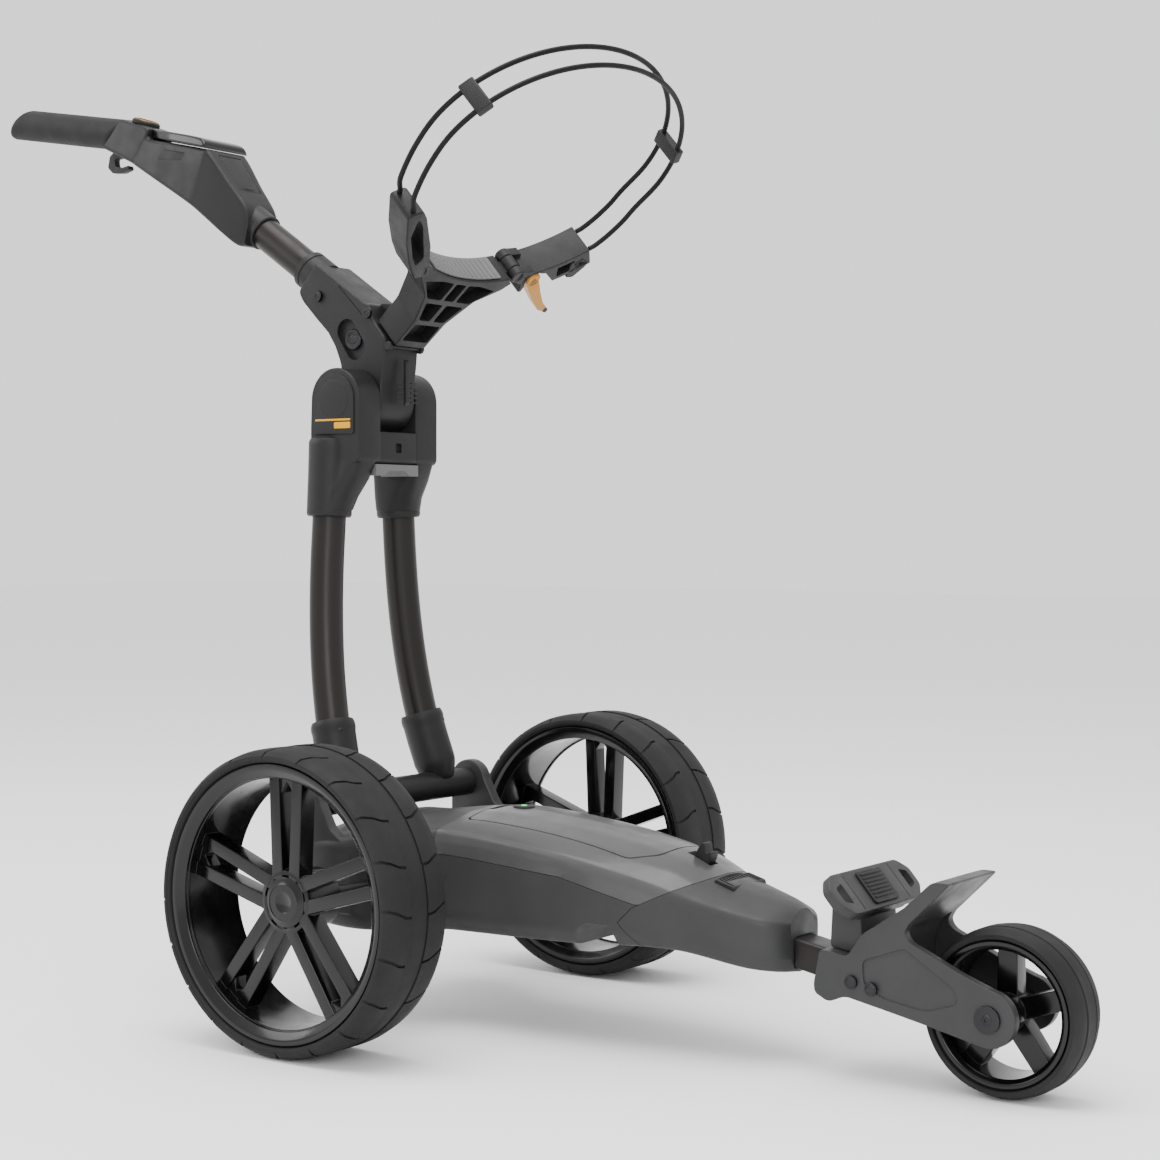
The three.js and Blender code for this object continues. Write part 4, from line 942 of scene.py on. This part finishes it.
KNOB = [(0, 25), (4, 25), (4.6, 24.4), (7, 24.4), (7.6, 25.3), (10, 25.3), (11, 24.3), (11, 22.3), (0, 22.3)]
knob = together(
    *(moved(turned(KNOB, 48), set_at(-128.5, 0, 693) @ Matrix.Rotation(turn, 4, "Z")) for turn in (0, math.pi))
)
piece("tension_knob", knob, STEEL, "head", "bright_steel", "tension_bolt")

panel = [
    (-78.5, 688.5), (-80.2, 685), (-82.2, 676), (-83.5, 664), (-86.5, 644), (-86.5, 620), (-84, 614),
    (-79, 614), (-76, 619), (-75.5, 640), (-75.5, 680), (-76.5, 687)
]
plan = slab(
    [(-22.5, 700), (-22.5, 628), (-14, 613.5), (14, 613.5), (22.5, 628), (22.5, 700)], -100, -60, axis="x",
    corner=8, edge=0
)
lever = cut(slab(panel, -22.4, 22.4, corner=2, edge=1.6), plan, operation="INTERSECT")
ridge = slab([(-77, 622), (-77, 672), (-74.2, 668), (-73.8, 626)], -3, 3, corner=2, edge=1.2)
grip_lines = []
for side in (-1, 1):
    for z in range(626, 650, 5):
        line = [(-76.2, z), (-76.2, z + 1.6), (-74.9, z + 1.6), (-74.9, z)]
        grip_lines.append(slab(line, *between(side, 6, 17), edge=0.5))
piece(
    "release_lever", together(lever, ridge, *grip_lines, rod((-78.5, -27, 684), (-78.5, 27, 684), 2, 20, 0.3)),
    CHARCOAL, "fold_lever", "charcoal_plastic", "fold_lever"
)

# %% [markdown]
# ## Console and grip
# The console tapers back into the grip. A gloss lid covers the display, a flap covers a port on the front
# face, and a gold-topped dial sits just ahead of the hand.


# %% Console
def rounded_rings(upper, lower, widths, corner, count=44):
    tops, bottoms = through([(x, 0, z) for x, z in upper], count), through([(x, 0, z) for x, z in lower], count)
    halves = through([(w, 0, 0) for w in widths], count)
    rings = []
    for top, bottom, half in zip(tops, bottoms, halves):
        rise = top - bottom
        height = rise.length
        rim = softened(
            [(-half.x, 0), (half.x, 0), (half.x * 0.94, height), (-half.x * 0.94, height)], corner, 6, gentle=0
        )
        rings.append([bottom + rise.normalized() * v + Vector((0, u, 0)) for u, v in rim])
    return rings


upper = [
    (-486.8, 963.3), (-465, 956.2), (-441, 947.6), (-438.5, 935.3), (-400, 926.6), (-345, 914), (-333, 908.6),
    (-308, 876), (-283.5, 845), (-281, 826)
]
lower_line = [
    (-517.4, 932), (-492, 921), (-468, 910.6), (-460, 906), (-425, 888), (-372, 859), (-352, 846), (-318, 819),
    (-298, 804.5), (-286, 803.5)
]
widths = [17.5, 19.5, 21.6, 22.5, 29, 34, 33.5, 29.5, 26, 24.5]
console = skin(rounded_rings(upper, lower_line, widths, 6))
collar = swept([Vector(on_mast(s)) for s in (-125, -94, -92.6)], lambda t: ring(20.5 if t < 0.9 else 19.6, 48))
FACE_PITCH = 53.3
hinge = Vector((-343 + 0.597 * 22, 0, 923 - 0.802 * 22))
on_face = set_at(*hinge) @ pitched(FACE_PITCH)
side_recess = [
    slab([(-420, 922), (-369, 911), (-375, 903), (-414, 908)], *between(s, 27.5, 50), corner=3, edge=0)
    for s in (-1, 1)
]
flap_room = moved(slab([(-2, -3.4), (50.4, -3.4), (50.4, 8), (-2, 8)], -17.4, 17.4, corner=0, edge=0), on_face)
console = cut(console, *side_recess, flap_room)
hook = slab(
    [
        (-500, 934), (-512, 930), (-520, 925), (-523, 912), (-515, 905), (-499, 904), (-487, 907), (-489, 912),
        (-501, 910), (-510, 913), (-511, 921), (-500, 922)
    ],
    -4, 4, corner=2, edge=1.5
)
piece("console_case", together(console, collar, hook), CHARCOAL, "head", "charcoal_plastic", "console_housing")
lid_rings = rounded_rings(
    [(-440, 948.2), (-400, 938.6), (-346, 925.4), (-337, 915.5)],
    [(-438.6, 936.3), (-400, 927.6), (-345, 915), (-336, 912.9)], [14, 27, 34, 33], 3.5, 30
)
piece("display_lid", skin(lid_rings), RIM_BLACK, "head", "rim_black", "console_lid", angle=40)
flap = slab([(-1, -2.8), (50, -2.8), (50, 0.2), (-1, 0.2)], -17, 17, corner=1.2, edge=0.8)
nail = slab([(44, -0.4), (47, -0.4), (47, 1), (44, 1)], -7, 7, corner=0.5, edge=0.4)
piece(
    "port_cover", moved(together(flap, nail), on_face), CHARCOAL, "port_flap", "charcoal_plastic", "port_flap"
)

DIAL_SPOT = (-464, 955.95, 18.5)
knurl = copies_round(
    slab([(-0.7, 15.2), (0.7, 15.2), (0.7, 16), (-0.7, 16)], 0.6, 3.6, corner=0.2, edge=0.2), 40, CHARCOAL
)
dial = together(
    turned([(0, 4.8), (11.5, 4.8), (12.4, 5.6), (13.4, 5.6), (15.3, 4), (15.6, 0.4), (0, 0.4)], 64), knurl
)
piece("dial_body", stood(dial, *DIAL_SPOT), CHARCOAL, "speed_dial", "charcoal_plastic", "speed_dial")
band = turned([(12.2, 5.2), (12.4, 5.9), (13.4, 5.9), (13.8, 5.2)], 64)
piece("dial_ring", stood(band, *DIAL_SPOT), GOLD, "speed_dial", "gold_plastic")

# %% [markdown]
# ## Grip
# The foam grip is a tube whose two ends are cut on a slant. Each ring of its skin leans a little more than the
# last, which makes both slants without cutting anything.

# %% Grip
grip_axis = Vector((230, 0, -39.6)).normalized()
grip_up = Vector((-grip_axis.z, 0, grip_axis.x))
grip_start = Vector((-673.2, 0, 977.8))
spans = []
for step in range(61):
    s = step / 60
    middle_point = grip_start + grip_axis * (173.8 * s)
    crown = 18 - 3.2 * max(0, (abs(s - 0.5) - 0.47) / 0.03) ** 2
    slant = 0.738 + 0.23 * s
    lean = grip_up + grip_axis * slant
    spans.append([middle_point + lean * v + Vector((0, u, 0)) for u, v in ring(crown, 56)])
piece("foam_grip", skin(spans), FOAM, "head", "grip_foam", "grip", angle=50)

# %% [markdown]
# ## Bag cradle, strap and cords
# These are drawn in the bag's own tilted frame: along the bag, across it, and out of the seat. The seat and
# the strap follow one circle, the bag's, so both are cut from arcs about the same middle. The cords are swept.

# %% Cradle
SEAT = set_at(3, 0, 748.5) @ pitched(BAG_TILT)


def band_outline(inner, outer, start, end, steps=24):
    return arc(0, 200, inner, start - 90, end - 90, steps) + arc(0, 200, outer, end - 90, start - 90, steps)


half = [(24, -99), (25, -62), (40, -27), (66, -6), (75, 8)]
outline = half + arc(0, 200, 200, -69, -111, 24) + [(-u, v) for u, v in half[::-1]]
seat = slab(outline, -36, 0, axis="x", corner=3, edge=2)
ear = slab(
    [
        (-60, 0), (-66, 9.5), (-88, 36), (-124, 69), (-136, 76.5), (-150.5, 65.3), (-124, 33), (-98, 9),
        (-75, -8)
    ],
    -36, 0, axis="x", corner=5, edge=2.5
)
window = slab(
    [(-135, 67), (-126, 43), (-101, 18.5), (-88, 9), (-86, 21), (-122, 59)], -60, 20, axis="x", corner=4, edge=0
)
pockets = [
    [(-20, -90), (-20, -66), (20, -66), (20, -90)], [(-20, -60), (-30, -36), (-3, -36), (-3, -60)],
    [(3, -60), (3, -36), (30, -36), (20, -60)], [(-34, -30), (-56, -8), (-30, -5), (-12, -6), (-12, -30)],
    [(12, -30), (12, -6), (30, -5), (56, -8), (34, -30)], [(-8, -30), (-8, -6), (8, -6), (8, -30)]
]
wells = [slab(p, -14, 10, axis="x", corner=3, edge=0) for p in pockets]
hinge_room = [rod((a, 75, 15), (b, 75, 15), 10.5, 40, 0.1) for a, b in ((-37, -25.8), (-10.2, 1))]
lever_room = rod((-4.7, -40, -103.8), (-4.7, 40, -103.8), 6.5, 32, 0.1)
seat = cut(seat, *wells, *hinge_room, lever_room)
knuckle = rod((-25.5, 75, 15), (-10.5, 75, 15), 8, 36, 0.6)
lug = slab(
    [(-34, -70), (-57, -92), (-58, -103), (-49, -109), (-38, -109), (-12, -97), (-12, -90), (-12, -70)], -8, 8,
    corner=4, edge=1.5
)
piece(
    "bag_cradle", moved(together(seat, cut(ear, window), knuckle, lug), SEAT), CHARCOAL, "head",
    "charcoal_plastic", "upper_cradle"
)
ribs = [slab(band_outline(197.8, 199.6, -15.6, 15.6), -33, -3, axis="x", corner=0, edge=0.4)]
for number in range(15):
    turn = -14 + 2 * number
    ribs.append(
        slab(band_outline(197.1, 198.5, turn - 0.3, turn + 0.3, 2), -31, -5, axis="x", corner=0, edge=0.3)
    )
piece("cradle_pad", moved(together(*ribs), SEAT), LINER, "head", "liner_rubber", "cradle_liner")

# %% Strap, cords and the gold lever
band = slab(band_outline(200.5, 226, 24.5, 48.3, 12), -36, 0, axis="x", corner=2, edge=1.5)
middle_gap = slab(
    softened([(60, -10), (86.5, -10), (86.5, 40), (60, 40)], 1), -25.8, -10.2, axis="x", corner=0, edge=0
)
window = slab(band_outline(206, 220.5, 37, 43, 6), -60, 20, axis="x", corner=2, edge=0)
lever_bay = rod((-19.5, 104, 13), (10, 104, 13), 12, 36, 0.1)
LEVER_SWEEP = [(95, 22), (98, -24), (175, -60), (175, 2), (140, 14), (112, 26)]
lever_path = slab(LEVER_SWEEP, -19.5, 10, axis="x", corner=0, edge=0)
band = cut(band, middle_gap, window, lever_bay, lever_path)
block = slab(
    [(140, 44), (150, 24), (160, 26), (166, 44), (164, 52), (150, 56)], -36, 0, axis="x", corner=3, edge=1.5
)
block = cut(block, lever_path)
arms = []
for a, b in ((-36, -26), (-10, 0)):
    arms.append(rod((a, 75, 15), (b, 75, 15), 8, 36, 0.8))
    arm = slab([(75, 8), (75, 22), (92, 26), (100, 4), (84, 6)], a, b, axis="x", corner=1.5, edge=0.8)
    arms.append(cut(arm, lever_bay))
piece(
    "strap_body", moved(together(band, block, *arms), SEAT), CHARCOAL, "strap", "charcoal_plastic",
    "strap_housing"
)

handle = slab(
    [(100, 20), (113, 14), (131, -1), (152, -17), (163, -21), (163, -27), (150, -26), (124, -11), (99, 6)],
    -17.5, 0, axis="x", corner=3, edge=2
)
tip = slab([(158, -19.6), (166, -22.4), (166, -28), (158, -26.6)], -17.6, 0.1, axis="x", corner=2, edge=1.5)
root = rod((-17.5, 104, 13), (0, 104, 13), 9, 40, 1.5)
piece("tension_lever", moved(together(handle, root), SEAT), GOLD, "strap_lever", "gold_plastic", "strap_lever")
piece("tension_lever_tip", moved(tip, SEAT), CHARCOAL, "strap_lever", "charcoal_plastic")


def hoop(x):
    round_part = [
        (x, 175 * math.cos(t), 155 + 130 * math.sin(t)) for t in (math.radians(-12 + 17 * i) for i in range(13))
    ]
    start = [(x, 155.2, 64.2), (x, 160.5, 70.5), (x, 167, 87), (x, 171, 108)]
    return through(start + round_part + [(x, -158.5, 90), (x, -147.2, 75.6), (x, -144, 71.5)], 200)


cords = {"upper": -31, "lower": -5}
for name, x in cords.items():
    smooth_cord = swept(hoop(x), ring(2.7, 16), Vector((1, 0, 0)))
    piece(f"{name}_bag_cord", moved(smooth_cord, SEAT), CORD, "strap", "cord_rubber", f"{name}_cord")
for name, side in (("right", -1), ("left", 1)):
    block = slab([(-8.5, -5), (8.5, -5), (8.5, 5), (-8.5, 5)], -36, 0, axis="x", corner=2.5, edge=1.4)
    place = set_at(0, side * 162.6, 203) @ Matrix.Rotation(math.radians(side * 118), 4, "X")
    piece(
        f"{name}_cord_bridge", moved(block, SEAT @ place), CHARCOAL, "strap", "charcoal_plastic",
        f"{name}_cord_clip"
    )

# %% [markdown]
# ## Screws and the parts that stay
# Screws are set on points with their facing. The hidden machine parts keep their shape and get a surface.

# %% Screws
def side_spots(spots, face):
    return [((x, s * face, z), (0, s, 0)) for x, z in spots for s in (-1, 1)]


chassis_spots = side_spots([(-95, 217)], 143.2)
chassis_spots += side_spots([(480, 92), (500, 88)], 50.6)
chassis_spots += side_spots([(611.7, 75)], 50)
leg_spots = []
turn = 0.5
for side in (-1, 1):
    outwards = (math.cos(turn), side * math.sin(turn), 0)
    for x, y, z in ((-114, 72, 287), (-133.5, 55.3, 522)):
        leg_spots.append(((x + 23 * outwards[0], side * y + 22.6 * outwards[1], z), outwards))
piece("leg_screws", copies_on(screw_head(3.6), leg_spots, STEEL), STEEL, "legs", "bright_steel")
piece("chassis_screws", copies_on(screw_head(4.6), chassis_spots, STEEL), STEEL, "chassis", "bright_steel")
head_spots = side_spots([(-174, 741), (-105, 720)], 29.9)
piece("head_screws", copies_on(screw_head(4.2), head_spots, STEEL), STEEL, "head", "bright_steel")

# %% Carried parts
CARRIED = {"drive_cover": CHARCOAL, "gearbox_housing": CHARCOAL, "yoke_liner": LINER}
for name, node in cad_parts.items():
    finish = CARRIED.get(name, STEEL)
    node.data.materials.clear()
    node.data.materials.append(finish)
print("surfaces set on", len(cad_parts), "frame pieces")

# %% [markdown]
# ## Studio
# A wide white floor lies under an even white sky. One big soft light hangs overhead, one stands at each side.

# %% Floor and lights
paper = bpy.data.materials.new("paper")
paper.use_nodes = True
paper.node_tree.nodes["Principled BSDF"].inputs["Base Color"].default_value = (0.95, 0.95, 0.95, 1)
paper.node_tree.nodes["Principled BSDF"].inputs["Roughness"].default_value = 0.75
sheet = bmesh.new()
corners = [sheet.verts.new(p) for p in ((-14, -14, 0), (14, -14, 0), (14, 14, 0), (-14, 14, 0))]
sheet.faces.new(corners)
floor = shown("floor", sheet)
floor.data.materials.append(paper)
world = bpy.data.worlds.new("studio")
world.use_nodes = True
world.node_tree.nodes["Background"].inputs["Color"].default_value = (1, 1, 1, 1)
world.node_tree.nodes["Background"].inputs["Strength"].default_value = 1.4
bpy.context.scene.world = world


def soft_light(name, place, target, size, power):
    lamp = bpy.data.lights.new(name, "AREA")
    lamp.size = size
    lamp.energy = power
    made = bpy.data.objects.new(name, lamp)
    made.location = place
    made.rotation_euler = (Vector(target) - Vector(place)).to_track_quat("-Z", "Y").to_euler()
    bpy.context.collection.objects.link(made)


soft_light("overhead", (0.2, -0.4, 3.0), (0, 0, 0.3), 2.2, 95)
soft_light("right_side", (2.0, -2.6, 1.6), (0, 0, 0.4), 1.5, 40)
soft_light("left_side", (-2.4, -1.6, 1.9), (0, 0, 0.5), 1.5, 32)
print("studio ready")
